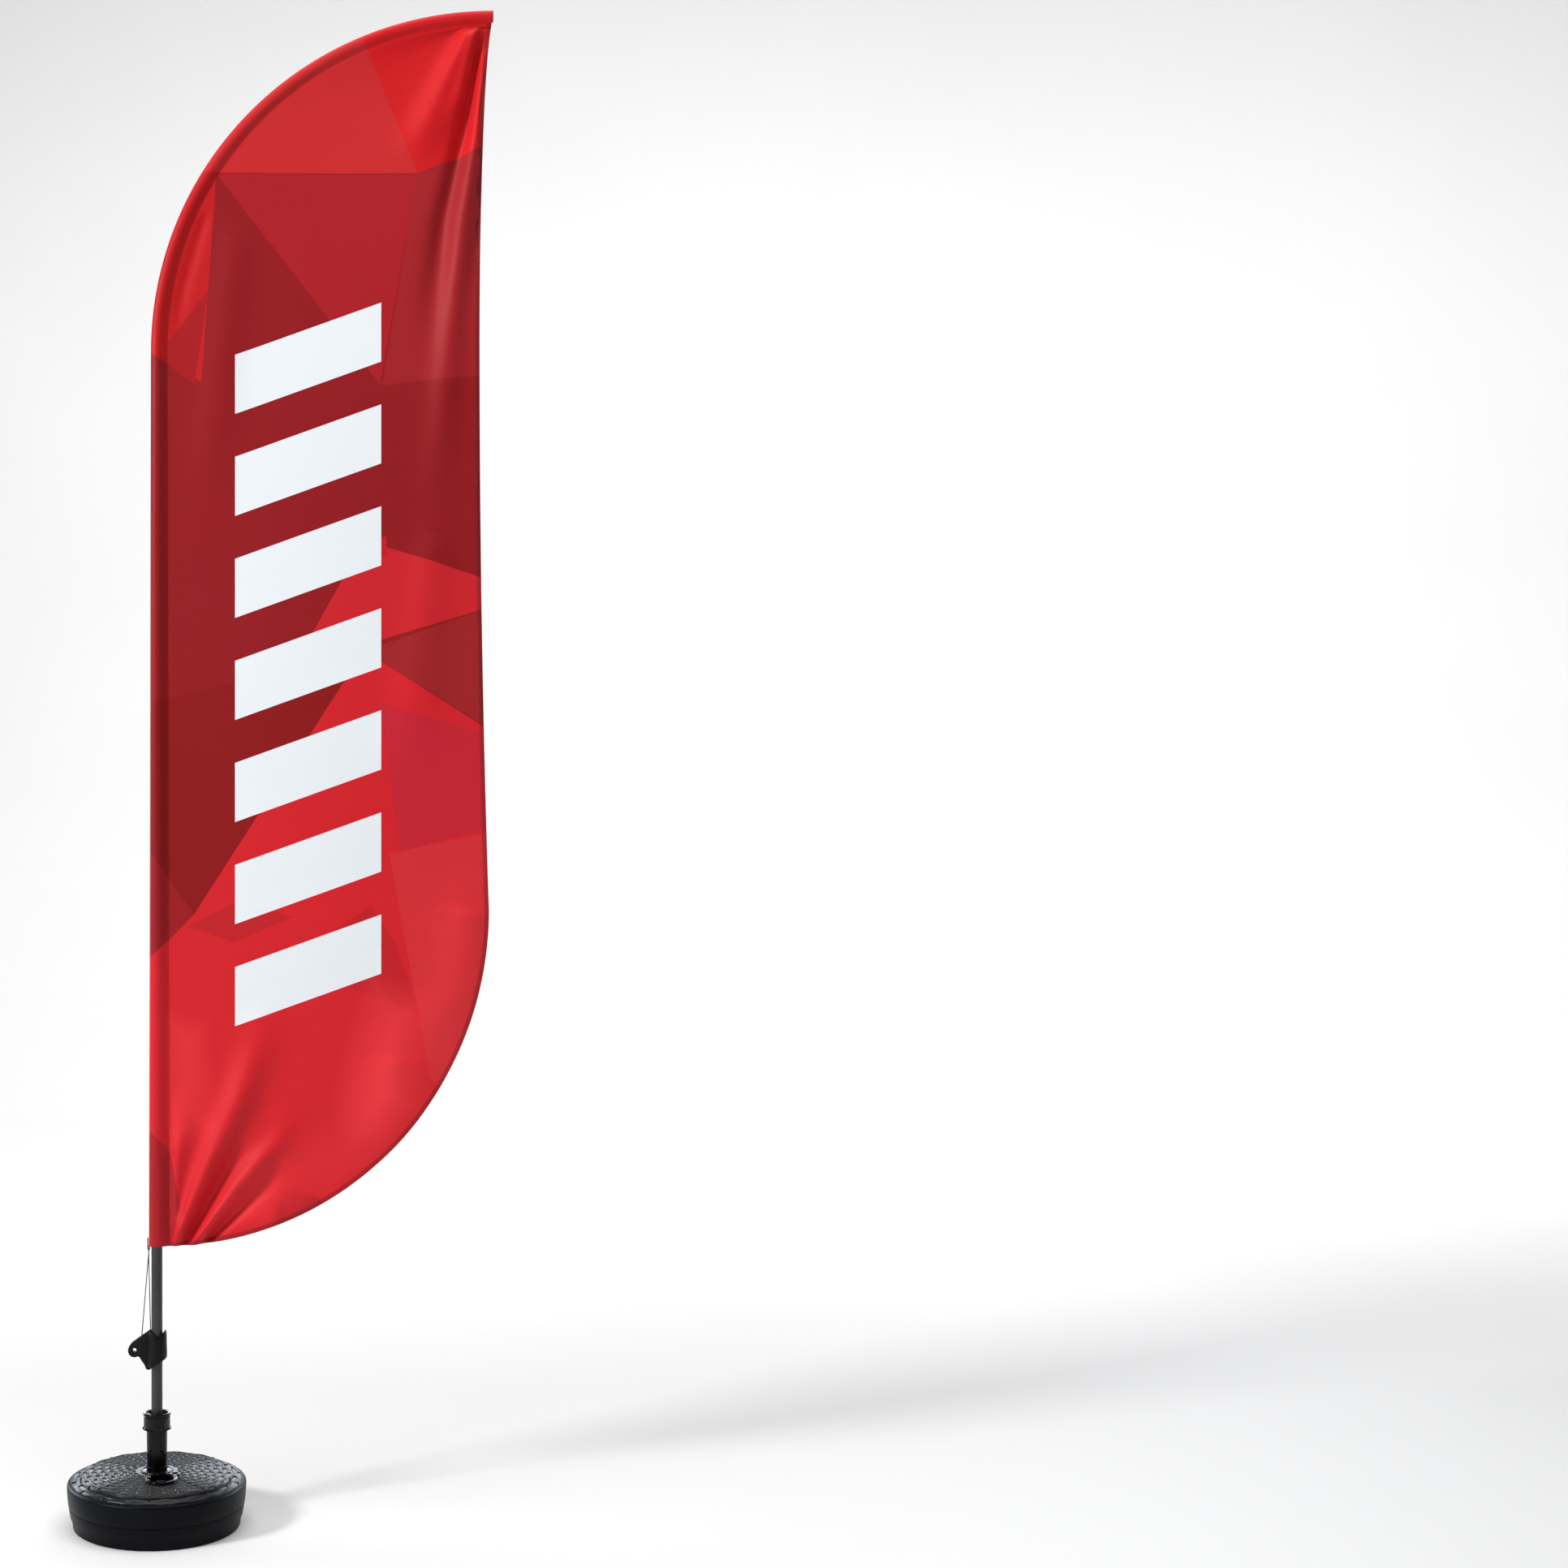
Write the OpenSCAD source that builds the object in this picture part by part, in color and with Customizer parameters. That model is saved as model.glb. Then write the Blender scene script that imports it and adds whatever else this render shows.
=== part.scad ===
// Feather flag on a weighted base: a water-filled tank with a woven-pattern lid, a clamping
// stem, a mast of five plug-in sections with a bowed top, a sleeved flag, and a tension cord
// held by a clip on the mast.
// Millimetres, +Z up. The origin is at the centre of the tank's underside, on the mast's axis,
// and the flag flies towards +X in the XZ plane.

/* [Base tank] */
// Largest diameter of the tank, at its shoulder
base_d = 450; // [440:1:470]
// Diameter of the tank where it meets the floor
base_foot_d = 420; // [412:1:424]
// Height of the widest part of the shoulder
shoulder_h = 104; // [100:1:108]
// Height of the crown around the stem
crown_h = 135; // [133:1:138]
// Wall thickness of the blow-moulded tank
tank_wall = 3.5; // [3:0.5:4]
// Level of the water in the tank
fill_h = 100; // [40:5:105]

/* [Filler] */
// Distance of the filler from the mast's axis
filler_offset = 84; // [83:0.5:88]
// Direction of the filler from the mast's axis, in degrees
filler_angle = -76.5; // [-120:0.5:-60]
// Diameter of the filler cap's rim
cap_d = 82; // [80:1:84]
// Diameter of the plug that fills the neck
plug_d = 66; // [60:1:68]
// Diameter of the hole in the pull tab
tab_hole_d = 16.5; // [12:0.5:18]

/* [Stem and clamp] */
// Diameter of the stem under the collar
stem_d = 52; // [51:0.5:52.4]
// Diameter of the stem's bore
stem_bore_d = 40; // [38:1:42]
// Height of the collar's top above the floor
collar_top_h = 282; // [270:1:300]
// Height of the clamp collar
collar_h = 40; // [38:1:44]
// Diameter of the collar's lower flange
collar_d = 74; // [72:1:78]
// Number of gripping tongues on the collet
tongues = 8; // [6:1:10]

/* [Mast] */
// Outside diameter of the lowest section
mast_d = 28; // [27:0.5:28]
// Height of the joint between the lower and middle sections
joint_1_h = 1180; // [900:10:1300]
// Height of the joint between the middle and upper sections
joint_2_h = 2120; // [1900:10:2300]
// Length of the plug-in part of a joint
plug_in = 90; // [60:5:120]
// Radius of the bowed top, to the mast's centreline
bow_r = 845; // [800:5:900]
// Height at which the mast starts to bend
bow_start_h = 2953; // [2800:1:3000]

/* [Flag] */
// Height of the flag's lower edge
flag_bottom_h = 701; // [650:1:760]
// Thickness of the flag's cloth
cloth_t = 0.8; // [0.6:0.1:1]
// Width of the hem along the free edge
hem_w = 12; // [8:1:16]
// Reach of the free edge at its narrow waist
waist_x = 813; // [780:1:840]
// Height of the narrow waist
waist_h = 2980; // [2800:10:3100]
// Height at which the rounded lower corner begins
corner_h = 1550; // [1400:10:1700]
// Reach of the flag where the rounded corner begins
corner_x = 836.5; // [820:0.5:850]

/* [Tension cord and clip] */
// Height of the clip's eye on the mast
eye_h = 440; // [430:1:450]
// Diameter of the elastic cord
cord_d = 2.4; // [2:0.1:3]

/* [Hidden] */
$fn = 96;
// Gap between pieces that move past each other, and running clearance of a shaft
gap = 0.3;
running = 0.08;
// Colours of the plastics, metals and cloth
black_plastic = [0.07, 0.07, 0.08];
gloss_black = [0.04, 0.04, 0.045];
dark_metal = [0.22, 0.23, 0.24];
glass_fibre = [0.16, 0.16, 0.17];
flag_red = [0.78, 0.13, 0.17];
dark_red = [0.62, 0.1, 0.14];
rubber_black = [0.05, 0.05, 0.05];
water_blue = [0.45, 0.6, 0.7];

// Base tank: the outline's stations
base_r = base_d / 2;
foot_r = base_foot_d / 2;
foot_round = 5;
rebate_h = 28;
rebate_r = foot_r + 3;
rebate_out = 3.5;
groove_h = 56;
groove_r = base_r - 4;
groove_depth = 1.4;
shoulder_round = 11;
skirt_in_r = 191;
skirt_in_h = crown_h - 14.5;
disc_r = 188.5;
disc_h = crown_h - 7;
hub_r = 48;
well_r = 25.2;
well_wall = 3.2;
well_floor_h = 8;
tank_floor = 4;

// Filler neck and cap
filler_x = filler_offset * cos(filler_angle);
filler_y = filler_offset * sin(filler_angle);
neck_r = plug_d / 2 + 0.5;
neck_depth = 17;
seal_t = 1.35;
rim_h = crown_h + 1.4;
rim_t = 5.6;
cup_floor_h = crown_h - 13;
cup_wall = 2;
tab_reach = 50;
tab_angle = 53;
tab_t = 4;

// Stem, ring and clamp
stem_foot_r = 24.75;
stem_floor_h = 17;
socket_r = 14.4;
socket_top_h = 60;
flange_r = 36.5;
flange_t = 2;
stem_top_h = collar_top_h - 20;
collar_bottom_h = collar_top_h - collar_h;
shoulder_gap_h = stem_top_h + 3.5;
thread_clearance = 0.4;

// Mast sections: outer and inner radii, each section plugging into the one below it
lower_r = mast_d / 2;
lower_bore_r = lower_r - 1.5;
middle_r = lower_bore_r - 0.1;
middle_bore_r = middle_r - 1.9;
upper_r = middle_bore_r - 0.1;
upper_bore_r = upper_r - 3;
bow_tube_r = upper_bore_r - 0.1;
bow_bore_r = bow_tube_r - 2.2;
tip_r = bow_bore_r - 0.1;
foot_h = stem_floor_h + gap;
mast_bottom_h = foot_h + 5 + gap;
bow_joint_deg = 50;
bow_plug_deg = 6;
tip_end_deg = 88.4;
stop_ring_h = 14;

// Sleeve: reach of its folded edge, reach of its seam and half depth, from bottom to tip
sleeve_bottom = [20.5, 32, 15.8];
sleeve_bow = [15.4, 25.6, 14];
sleeve_end = [15.4, 15, 9];
seam_half = 0.5;
// Reach of the panel's lower corner at the seam, and the middle of the rounded corner
seam_foot_x = sleeve_bottom[1] + 0.2;
corner_mid_x = 23.5;
sleeve_deg_step = 5;
cuff_h = 22;
cuff_t = 0.8;

// Tension cord, from the clip's ear up through the tab's loop and down beside the mast
cord_sides = 8;
cord_route = [[-38, 0, 476], [-36, 0.5, 500], [-32, 1.8, 550], [-28, 3, 600], [-24, 4.2, 650],
    [-21.5, 4.9, 680], [-20.5, 5, 690], [-20.5, 4.3, 693], [-20.5, 2.5, 695], [-20.5, 0, 695.8],
    [-20.5, -2.5, 695], [-20.5, -4.3, 693], [-20.5, -5, 690], [-20.2, -5.2, 680],
    [-19.4, -5.8, 650], [-18, -6.8, 600], [-16.7, -7.8, 550], [-15.3, -8.8, 500],
    [-15, -9, 490]];
loop_x = -20.5;
loop_h = 695.8;
loop_r = 3.4;
loop_hole_r = 2;
loop_w = 3.6;

// Clip: outline of the band seen from the front, from the left horn clockwise
clip_shift = eye_h - 440;
band_r = 25;
band_bore_r = lower_r + gap;
band_outline = [[-26, 480], [-14, 489], [-5, 483], [4, 470], [13, 478], [21, 490], [26, 484],
    [26, 419], [4, 409], [-26, 392]];
ear_outline = [[-13, 489], [-38, 474], [-60, 456], [-48, 424], [-30, 408], [-24, 391],
    [-12, 396]];
ear_half = 9;
eye_x = -56;
eye_r = 14.5;
eye_hole_r = 5;
lug_w = 6;
lug_out = 38;
screw_y = 31.5;
screw_r = 2.5;

// Points of an arc in the plane
function arc(cx, cy, rx, ry, from, to, steps) =
    [for (i = [0 : steps]) let (a = from + (to - from) * i / steps)
        [cx + rx * cos(a), cy + ry * sin(a)]];

function reversed(list) = [for (i = [len(list) - 1 : -1 : 0]) list[i]];

// Reach of the free edge at a height above the rounded corner
function edge_x(z) =
    z < waist_h
        ? waist_x + (corner_x - waist_x) * pow((waist_h - z) / (waist_h - corner_h), 2)
        : let (u = (z - waist_h) / (bow_start_h + bow_r - 15 - waist_h))
            waist_x + 22 * pow(u, 2) + 8.6 * pow(u, 10);

// The free edge from the tip down to the seam's foot, drawn in by a distance
function free_edge(inset) =
    let (top = bow_start_h + bow_r - 16, rx = corner_x - corner_mid_x,
        ry = corner_h - flag_bottom_h)
    concat(
        [for (i = [0 : 20]) let (z = top + (corner_h - top) * i / 20) [edge_x(z) - inset, z]],
        arc(corner_mid_x, corner_h, rx - inset, ry - inset, -4,
            -acos((seam_foot_x - corner_mid_x) / (rx - inset)), 22));

// Sleeve's reach, seam and half depth at an angle along the bow
function sleeve_size(deg) = sleeve_bow + (sleeve_end - sleeve_bow) * deg / 90;

// The seam between the sleeve and the panel along the bow; its straight part closes the outline
function seam() =
    concat(
        [for (deg = [0 : sleeve_deg_step : 85]) let (r = bow_r - sleeve_size(deg)[1])
            [bow_r - r * cos(deg), bow_start_h + r * sin(deg)]],
        [[bow_r - 14, bow_start_h + bow_r - sleeve_end[1] - 0.3]]);

// Section of the sleeve: round about the mast and drawn out flat to the seam
function teardrop(size, inset) =
    let (a = size[0] - inset, b = size[1] - inset / 2, h = size[2] - inset,
        s = max(seam_half - inset, 0.15))
    concat([for (p = [60 : 24 : 300]) [a * cos(p), h * sin(p)]],
        [[(a / 2 + b) / 2, -(0.866 * h + s) / 2], [b, -s], [b, s],
            [(a / 2 + b) / 2, (0.866 * h + s) / 2]]);

// A section set square to the mast at a height, or at an angle along the bow
function at_height(section, z) = [for (p = section) [p[0], p[1], z]];
function at_bow(section, deg) =
    [for (p = section) [bow_r - (bow_r - p[0]) * cos(deg), p[1],
        bow_start_h + (bow_r - p[0]) * sin(deg)]];
function sleeve_rings(inset) =
    concat([at_height(teardrop(sleeve_bottom, inset), flag_bottom_h)],
        [for (deg = [0 : sleeve_deg_step : 90])
            at_bow(teardrop(sleeve_size(deg), inset), deg)]);

// Triangles between rings of n points, the first ring having the given index
function skin(first, rings, n, flip) =
    [for (i = [0 : rings - 2]) for (j = [0 : n - 1])
        let (a = (first + i) * n + j, b = (first + i) * n + (j + 1) % n, c = a + n, d = b + n)
        each flip ? [[a, d, b], [a, c, d]] : [[a, b, d], [a, d, c]]];

// Triangles between an outer ring and an inner ring of n points
function annulus(outer, inner, n, flip) =
    [for (j = [0 : n - 1])
        let (a = outer * n + j, b = outer * n + (j + 1) % n, c = inner * n + j,
            d = inner * n + (j + 1) % n)
        each flip ? [[a, b, d], [a, d, c]] : [[a, d, b], [a, c, d]]];

// A round tube swept along a route, its ends flat
module sweep(route, radius, sides) {
    last = len(route) - 1;
    rings = [for (i = [0 : last])
        let (t = route[min(i + 1, last)] - route[max(i - 1, 0)],
            dir = t / norm(t),
            side = cross(dir, [1, 0, 0]) / norm(cross(dir, [1, 0, 0])),
            up = cross(side, dir))
        each [for (k = [0 : sides - 1]) let (a = 360 * k / sides)
            route[i] + radius * (cos(a) * side + sin(a) * up)]];
    polyhedron(points = rings, faces = concat(
        skin(0, last + 1, sides, true),
        [[for (k = [0 : sides - 1]) k]],
        [[for (k = [sides - 1 : -1 : 0]) last * sides + k]]), convexity = 4);
}

// A plate lying in the XZ plane, centred on y = 0
module upright(thickness) {
    rotate([90, 0, 0])
        linear_extrude(height = thickness, center = true)
            children();
}

module tube(outer, inner, from, to) {
    translate([0, 0, from])
        difference() {
            cylinder(r = outer, h = to - from);
            translate([0, 0, -1])
                cylinder(r = inner, h = to - from + 2);
        }
}

// A tube bent along the mast's bow between two angles
module bow(outer, inner, from, to) {
    translate([bow_r, 0, bow_start_h])
        rotate([90, 0, 0])
            rotate([0, 0, 180 - to])
                rotate_extrude(angle = to - from, $fn = 180)
                    translate([bow_r, 0])
                        difference() {
                            circle(r = outer, $fn = 32);
                            if (inner > 0) circle(r = inner, $fn = 32);
                        }
}

// Half section of the tank's outside
module tank_outline() {
    polygon(concat([[0, 0]],
        arc(foot_r - foot_round, foot_round, foot_round, foot_round, -90, 0, 4),
        [[rebate_r, rebate_h], [rebate_r + rebate_out, rebate_h + 1],
            [groove_r, groove_h], [groove_r - groove_depth, groove_h + 0.7],
            [groove_r - groove_depth, groove_h + 1.8], [groove_r + 0.3, groove_h + 2.6]],
        arc(base_r - shoulder_round, shoulder_h, shoulder_round, shoulder_round, 0, 70, 8),
        [[skirt_in_r, skirt_in_h], [disc_r, disc_h], [hub_r, crown_h], [0, crown_h]]));
}

// Half section of the room inside the tank, around the well
module tank_room(slack, top) {
    w = tank_wall + slack;
    inner = well_r + well_wall + slack;
    intersection() {
        polygon([[inner, tank_floor + slack], [foot_r - w - 1, tank_floor + slack],
            [rebate_r - w, rebate_h], [groove_r - groove_depth - w, groove_h],
            [base_r - w, groove_h + 24], [base_r - w, shoulder_h],
            [base_r - shoulder_round, shoulder_h + shoulder_round - w],
            [skirt_in_r - w, skirt_in_h - w], [disc_r - w - 2, disc_h - w],
            [hub_r, crown_h - w], [inner, crown_h - w]]);
        square([base_d, top]);
    }
}

module base_tank() {
    color(black_plastic)
        difference() {
            union() {
                difference() {
                    rotate_extrude($fn = 180) tank_outline();
                    rotate_extrude($fn = 180) tank_room(0, crown_h);
                }
                translate([filler_x, filler_y, crown_h - neck_depth])
                    cylinder(r = neck_r + 4, h = neck_depth);
            }
            translate([0, 0, well_floor_h])
                cylinder(r = well_r, h = crown_h);
            translate([filler_x, filler_y, crown_h - neck_depth - 1])
                cylinder(r = neck_r, h = neck_depth + 10);
        }
}

module water_fill() {
    color(water_blue)
        rotate_extrude($fn = 180) tank_room(0.4, fill_h);
}

module stem_ring() {
    lip_h = crown_h + flange_t + 0.3;
    color(gloss_black)
        difference() {
            rotate_extrude()
                polygon([[flange_r + 0.2, crown_h], [40.5, crown_h], [40.5, crown_h + 1.8],
                    [39, crown_h + 4], [35.4, crown_h + 4], [34.5, crown_h + 3.2],
                    [34.5, lip_h], [flange_r + 0.2, lip_h]]);
            for (k = [0 : 3])
                rotate([0, 0, 45 + 90 * k])
                    translate([33, -2, crown_h + 3])
                        cube([10, 4, 3]);
        }
}

module stem_tube() {
    color(gloss_black)
        difference() {
            rotate_extrude()
                polygon([[0, well_floor_h + 0.3], [stem_foot_r, well_floor_h + 0.3],
                    [stem_foot_r, crown_h + 0.05], [flange_r, crown_h + 0.05],
                    [flange_r, crown_h + flange_t], [stem_foot_r + 0.35, crown_h + flange_t],
                    [stem_d / 2, collar_bottom_h - 6], [stem_d / 2, stem_top_h],
                    [0, stem_top_h]]);
            translate([0, 0, stem_floor_h])
                cylinder(r = socket_r, h = stem_top_h);
            translate([0, 0, socket_top_h])
                cylinder(r1 = socket_r, r2 = stem_bore_d / 2, h = 6);
            translate([0, 0, socket_top_h + 6])
                cylinder(r = stem_bore_d / 2, h = stem_top_h);
        }
}

module filler_cap() {
    rim_r = cap_d / 2;
    plug_r = plug_d / 2;
    cup_r = plug_r - cup_wall;
    color(black_plastic)
        translate([filler_x, filler_y, 0]) {
            rotate_extrude()
                polygon([[0, cup_floor_h], [plug_r, cup_floor_h], [plug_r, rim_h],
                    [rim_r, rim_h], [rim_r, rim_h + rim_t - 3], [rim_r - 2, rim_h + rim_t - 0.6],
                    [rim_r - 4.5, rim_h + rim_t], [plug_r, rim_h + rim_t - 1],
                    [cup_r, rim_h + rim_t - 3], [cup_r, cup_floor_h + cup_wall],
                    [0, cup_floor_h + cup_wall]]);
            rotate([0, 0, tab_angle])
                translate([0, 0, rim_h + 0.2])
                    linear_extrude(height = tab_t)
                        difference() {
                            union() {
                                translate([tab_reach, 0])
                                    circle(r = tab_hole_d / 2 + 5.2);
                                translate([rim_r - 1.5, -10])
                                    square([tab_reach - rim_r, 20]);
                            }
                            translate([tab_reach, 0])
                                circle(r = tab_hole_d / 2);
                            circle(r = rim_r - 1.5);
                        }
        }
}

module filler_seal() {
    color(rubber_black)
        translate([filler_x, filler_y, 0])
            tube(cap_d / 2 - 2, plug_d / 2 + 0.05, rim_h - seal_t - 0.02, rim_h - 0.02);
}

module collet() {
    ring_h = stem_top_h + gap;
    tongue_top_h = collar_top_h - 2;
    hole_r = lower_r + gap;
    color(gloss_black)
        difference() {
            rotate_extrude()
                polygon([[hole_r, ring_h - 6], [stem_bore_d / 2 - 0.4, ring_h - 6],
                    [stem_bore_d / 2 - 0.4, ring_h], [26.1, ring_h], [26.1, ring_h + 2.9],
                    [24.1, ring_h + 2.9], [24.1, ring_h + 7], [25.4, tongue_top_h - 2],
                    [24, tongue_top_h], [hole_r + 2, tongue_top_h - 4],
                    [hole_r, tongue_top_h - 6]]);
            for (k = [0 : tongues - 1])
                rotate([0, 0, 360 * (k + 0.5) / tongues])
                    translate([hole_r - 2, -2.5, ring_h + 3])
                        cube([24.6 - hole_r, 5, 20]);
        }
}

module clamp_collar() {
    flange = collar_d / 2;
    body = flange - 3.6;
    lip = flange - 2;
    bore = stem_d / 2 + thread_clearance;
    color(gloss_black) {
        rotate_extrude()
            polygon([[bore, collar_bottom_h], [flange, collar_bottom_h],
                [flange, collar_bottom_h + 1.6], [body, collar_bottom_h + 3.5],
                [body, collar_top_h - 6.5], [lip, collar_top_h - 5.5],
                [lip, collar_top_h - 1.5], [lip - 1.5, collar_top_h], [27.4, collar_top_h],
                [24.4, shoulder_gap_h + 3.5], [24.4, shoulder_gap_h],
                [bore, shoulder_gap_h]]);
        for (k = [0 : 3])
            rotate([0, 0, 90 * k - 9])
                translate([0, 0, collar_bottom_h + 2])
                    rotate_extrude(angle = 45)
                        polygon([[body - 0.5, 0], [flange - 1.2, 0], [flange - 1.2, 26],
                            [flange - 2.2, 27.5], [body - 0.5, 27.5]]);
    }
}

module swivel_foot() {
    color(rubber_black) {
        translate([0, 0, foot_h])
            cylinder(r = lower_r, h = 5);
        translate([0, 0, foot_h + 4])
            cylinder(r = lower_bore_r - running, h = 46);
    }
}

module mast_lower() {
    color(dark_metal)
        tube(lower_r, lower_bore_r, mast_bottom_h, joint_1_h);
}

module mast_middle() {
    color(dark_metal)
        tube(middle_r, middle_bore_r, joint_1_h - plug_in, joint_2_h);
}

module mast_upper() {
    color(glass_fibre)
        tube(upper_r, upper_bore_r, joint_2_h - plug_in, bow_start_h);
}

module mast_bow() {
    color(glass_fibre) {
        tube(bow_tube_r - 0.3, bow_bore_r - 0.6, bow_start_h - plug_in, bow_start_h + 0.02);
        bow(bow_tube_r, bow_bore_r, 0, bow_joint_deg);
    }
}

module mast_tip() {
    color(glass_fibre)
        bow(tip_r, 0, bow_joint_deg - bow_plug_deg, tip_end_deg);
}

module stop_ring_lower() {
    color(rubber_black)
        tube(lower_r + 0.2, middle_r + 0.05, joint_1_h, joint_1_h + stop_ring_h);
}

module stop_ring_middle() {
    color(rubber_black)
        tube(middle_r + 0.2, upper_r + 0.05, joint_2_h, joint_2_h + stop_ring_h);
}

module stop_ring_upper() {
    color(rubber_black)
        bow(upper_r, bow_tube_r + 0.05, 0.05, 1);
}

module stop_ring_bow() {
    color(rubber_black)
        bow(bow_tube_r, tip_r + 0.05, bow_joint_deg, bow_joint_deg + 1);
}

module tip_cap() {
    end_x = bow_r - 0.1;
    color(rubber_black)
        translate([end_x, 0, bow_start_h + bow_r])
            rotate([0, -90, 0])
                difference() {
                    rotate_extrude($fn = 48)
                        polygon(concat([[0, 0]], arc(3.6, 3, 3, 3, -90, 0, 4),
                            [[6.6, 27], [0, 27]]));
                    translate([0, 0, 20])
                        cylinder(r = tip_r + 0.5, h = 20);
                }
}

module flag_panel() {
    color(flag_red)
        upright(cloth_t)
            polygon(concat(seam(), free_edge(hem_w)));
}

module edge_hem() {
    color(dark_red)
        upright(2 * cloth_t)
            polygon(concat(free_edge(0), reversed(free_edge(hem_w))));
}

module flag_sleeve() {
    outer = sleeve_rings(0);
    inner = sleeve_rings(cloth_t);
    rings = len(outer);
    n = len(outer[0]);
    color(flag_red)
        polyhedron(points = [for (ring = concat(outer, inner)) each ring], faces = concat(
            skin(0, rings, n, true),
            skin(rings, rings, n, false),
            annulus(0, rings, n, true),
            annulus(rings - 1, 2 * rings - 1, n, false)), convexity = 8);
}

module sleeve_cuff() {
    color(dark_red)
        translate([0, 0, flag_bottom_h])
            linear_extrude(height = cuff_h)
                difference() {
                    polygon(teardrop(sleeve_bottom, -cuff_t));
                    polygon(teardrop(sleeve_bottom, -0.05));
                    translate([sleeve_bottom[1] - 4, -20])
                        square([10, 40]);
                }
}

module tip_pocket() {
    color(dark_red)
        translate([bow_r + 2.5, 0, bow_start_h + bow_r])
            rotate([0, -90, 0])
                linear_extrude(height = 2.45)
                    mirror([1, 0])
                        polygon(teardrop(sleeve_end, 0));
}

module cord_tab() {
    color(dark_red)
        upright(loop_w)
            difference() {
                union() {
                    translate([loop_x, loop_h]) circle(r = loop_r, $fn = 32);
                    translate([loop_x - 3.2, loop_h]) square([1.4, 26]);
                }
                translate([loop_x, loop_h]) circle(r = loop_hole_r, $fn = 32);
            }
}

module tension_cord() {
    color(rubber_black)
        sweep(cord_route, cord_d / 2, cord_sides);
}

module cord_knot() {
    color(rubber_black)
        translate([-38, 0, 472 + clip_shift])
            rotate_extrude($fn = 32)
                polygon([[0, 0], [3, 0.6], [3.4, 2], [2.6, 3.4], [0, 3.6]]);
}

// The band's outline seen from the front, cut through the whole clip
module clip_profile(outline, depth) {
    translate([0, 0, clip_shift])
        upright(depth)
            polygon(outline);
}

module clip_band() {
    color(rubber_black)
        difference() {
            union() {
                intersection() {
                    clip_profile(band_outline, 2 * band_r + 2);
                    translate([0, 0, eye_h - 60])
                        cylinder(r = band_r, h = 120);
                }
                translate([-lug_w - 1, band_r - 4, eye_h - 12])
                    cube([2 * lug_w + 2, lug_out - band_r + 4, 24]);
            }
            translate([0, 0, eye_h - 61])
                cylinder(r = band_bore_r, h = 122);
            translate([-1, 0, eye_h - 61])
                cube([2, lug_out + 2, 122]);
            translate([-lug_w - 2, screw_y, eye_h])
                rotate([0, 90, 0])
                    cylinder(r = screw_r + 0.2, h = 2 * lug_w + 4);
        }
}

module clip_eye() {
    color(rubber_black)
        difference() {
            union() {
                clip_profile(ear_outline, 2 * ear_half);
                translate([eye_x, 0, eye_h])
                    rotate([90, 0, 0])
                        cylinder(r = eye_r, h = 2 * ear_half, center = true);
            }
            translate([0, 0, eye_h - 62])
                cylinder(r = band_r + 0.02, h = 124);
            translate([eye_x, 0, eye_h])
                rotate([90, 0, 0])
                    cylinder(r = eye_hole_r, h = 2 * ear_half + 2, center = true);
            translate([-38, 0, 472 + clip_shift])
                cylinder(r = 3.5, h = 6);
        }
}

module clip_screw() {
    color(dark_metal)
        translate([-lug_w - 1, screw_y, eye_h])
            rotate([0, 90, 0]) {
                translate([0, 0, -3.5])
                    cylinder(r = 4.4, h = 3.5);
                cylinder(r = screw_r, h = 2 * lug_w + 8);
            }
}

module clip_nut() {
    color(dark_metal)
        translate([lug_w + 1.05, screw_y, eye_h])
            rotate([0, 90, 0])
                difference() {
                    cylinder(r = 4.6, h = 4, $fn = 6);
                    translate([0, 0, -1])
                        cylinder(r = screw_r + 0.05, h = 6);
                }
}

base_tank();
water_fill();
stem_ring();
stem_tube();
filler_cap();
filler_seal();
collet();
clamp_collar();
swivel_foot();
mast_lower();
mast_middle();
mast_upper();
mast_bow();
mast_tip();
stop_ring_lower();
stop_ring_middle();
stop_ring_upper();
stop_ring_bow();
tip_cap();
flag_panel();
edge_hem();
flag_sleeve();
sleeve_cuff();
tip_pocket();
cord_tab();
tension_cord();
cord_knot();
clip_band();
clip_eye();
clip_screw();
clip_nut();
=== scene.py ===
import math

import bpy
import numpy as np
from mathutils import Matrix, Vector


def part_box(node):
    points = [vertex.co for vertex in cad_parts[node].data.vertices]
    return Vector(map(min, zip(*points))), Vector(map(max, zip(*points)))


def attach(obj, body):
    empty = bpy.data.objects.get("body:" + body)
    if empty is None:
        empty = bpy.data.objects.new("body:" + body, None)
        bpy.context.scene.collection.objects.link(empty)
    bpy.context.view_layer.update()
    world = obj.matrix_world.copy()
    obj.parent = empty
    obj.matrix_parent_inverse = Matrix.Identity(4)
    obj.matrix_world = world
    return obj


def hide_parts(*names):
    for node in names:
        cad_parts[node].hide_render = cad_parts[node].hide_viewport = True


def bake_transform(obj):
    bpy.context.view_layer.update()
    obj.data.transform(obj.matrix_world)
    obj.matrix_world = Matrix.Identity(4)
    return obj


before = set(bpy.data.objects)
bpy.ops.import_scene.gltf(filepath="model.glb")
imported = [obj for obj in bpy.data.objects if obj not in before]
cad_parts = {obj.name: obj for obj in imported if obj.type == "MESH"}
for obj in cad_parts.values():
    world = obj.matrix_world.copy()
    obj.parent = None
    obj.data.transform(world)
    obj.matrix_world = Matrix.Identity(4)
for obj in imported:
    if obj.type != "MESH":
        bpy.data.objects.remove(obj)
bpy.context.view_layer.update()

# Feather flag on a weighted base. Everything is in metres, in the frame's own axes:
# +Z up along the mast, +X the way the flag flies, the flag in the plane y = 0.

MM = 0.001

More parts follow.
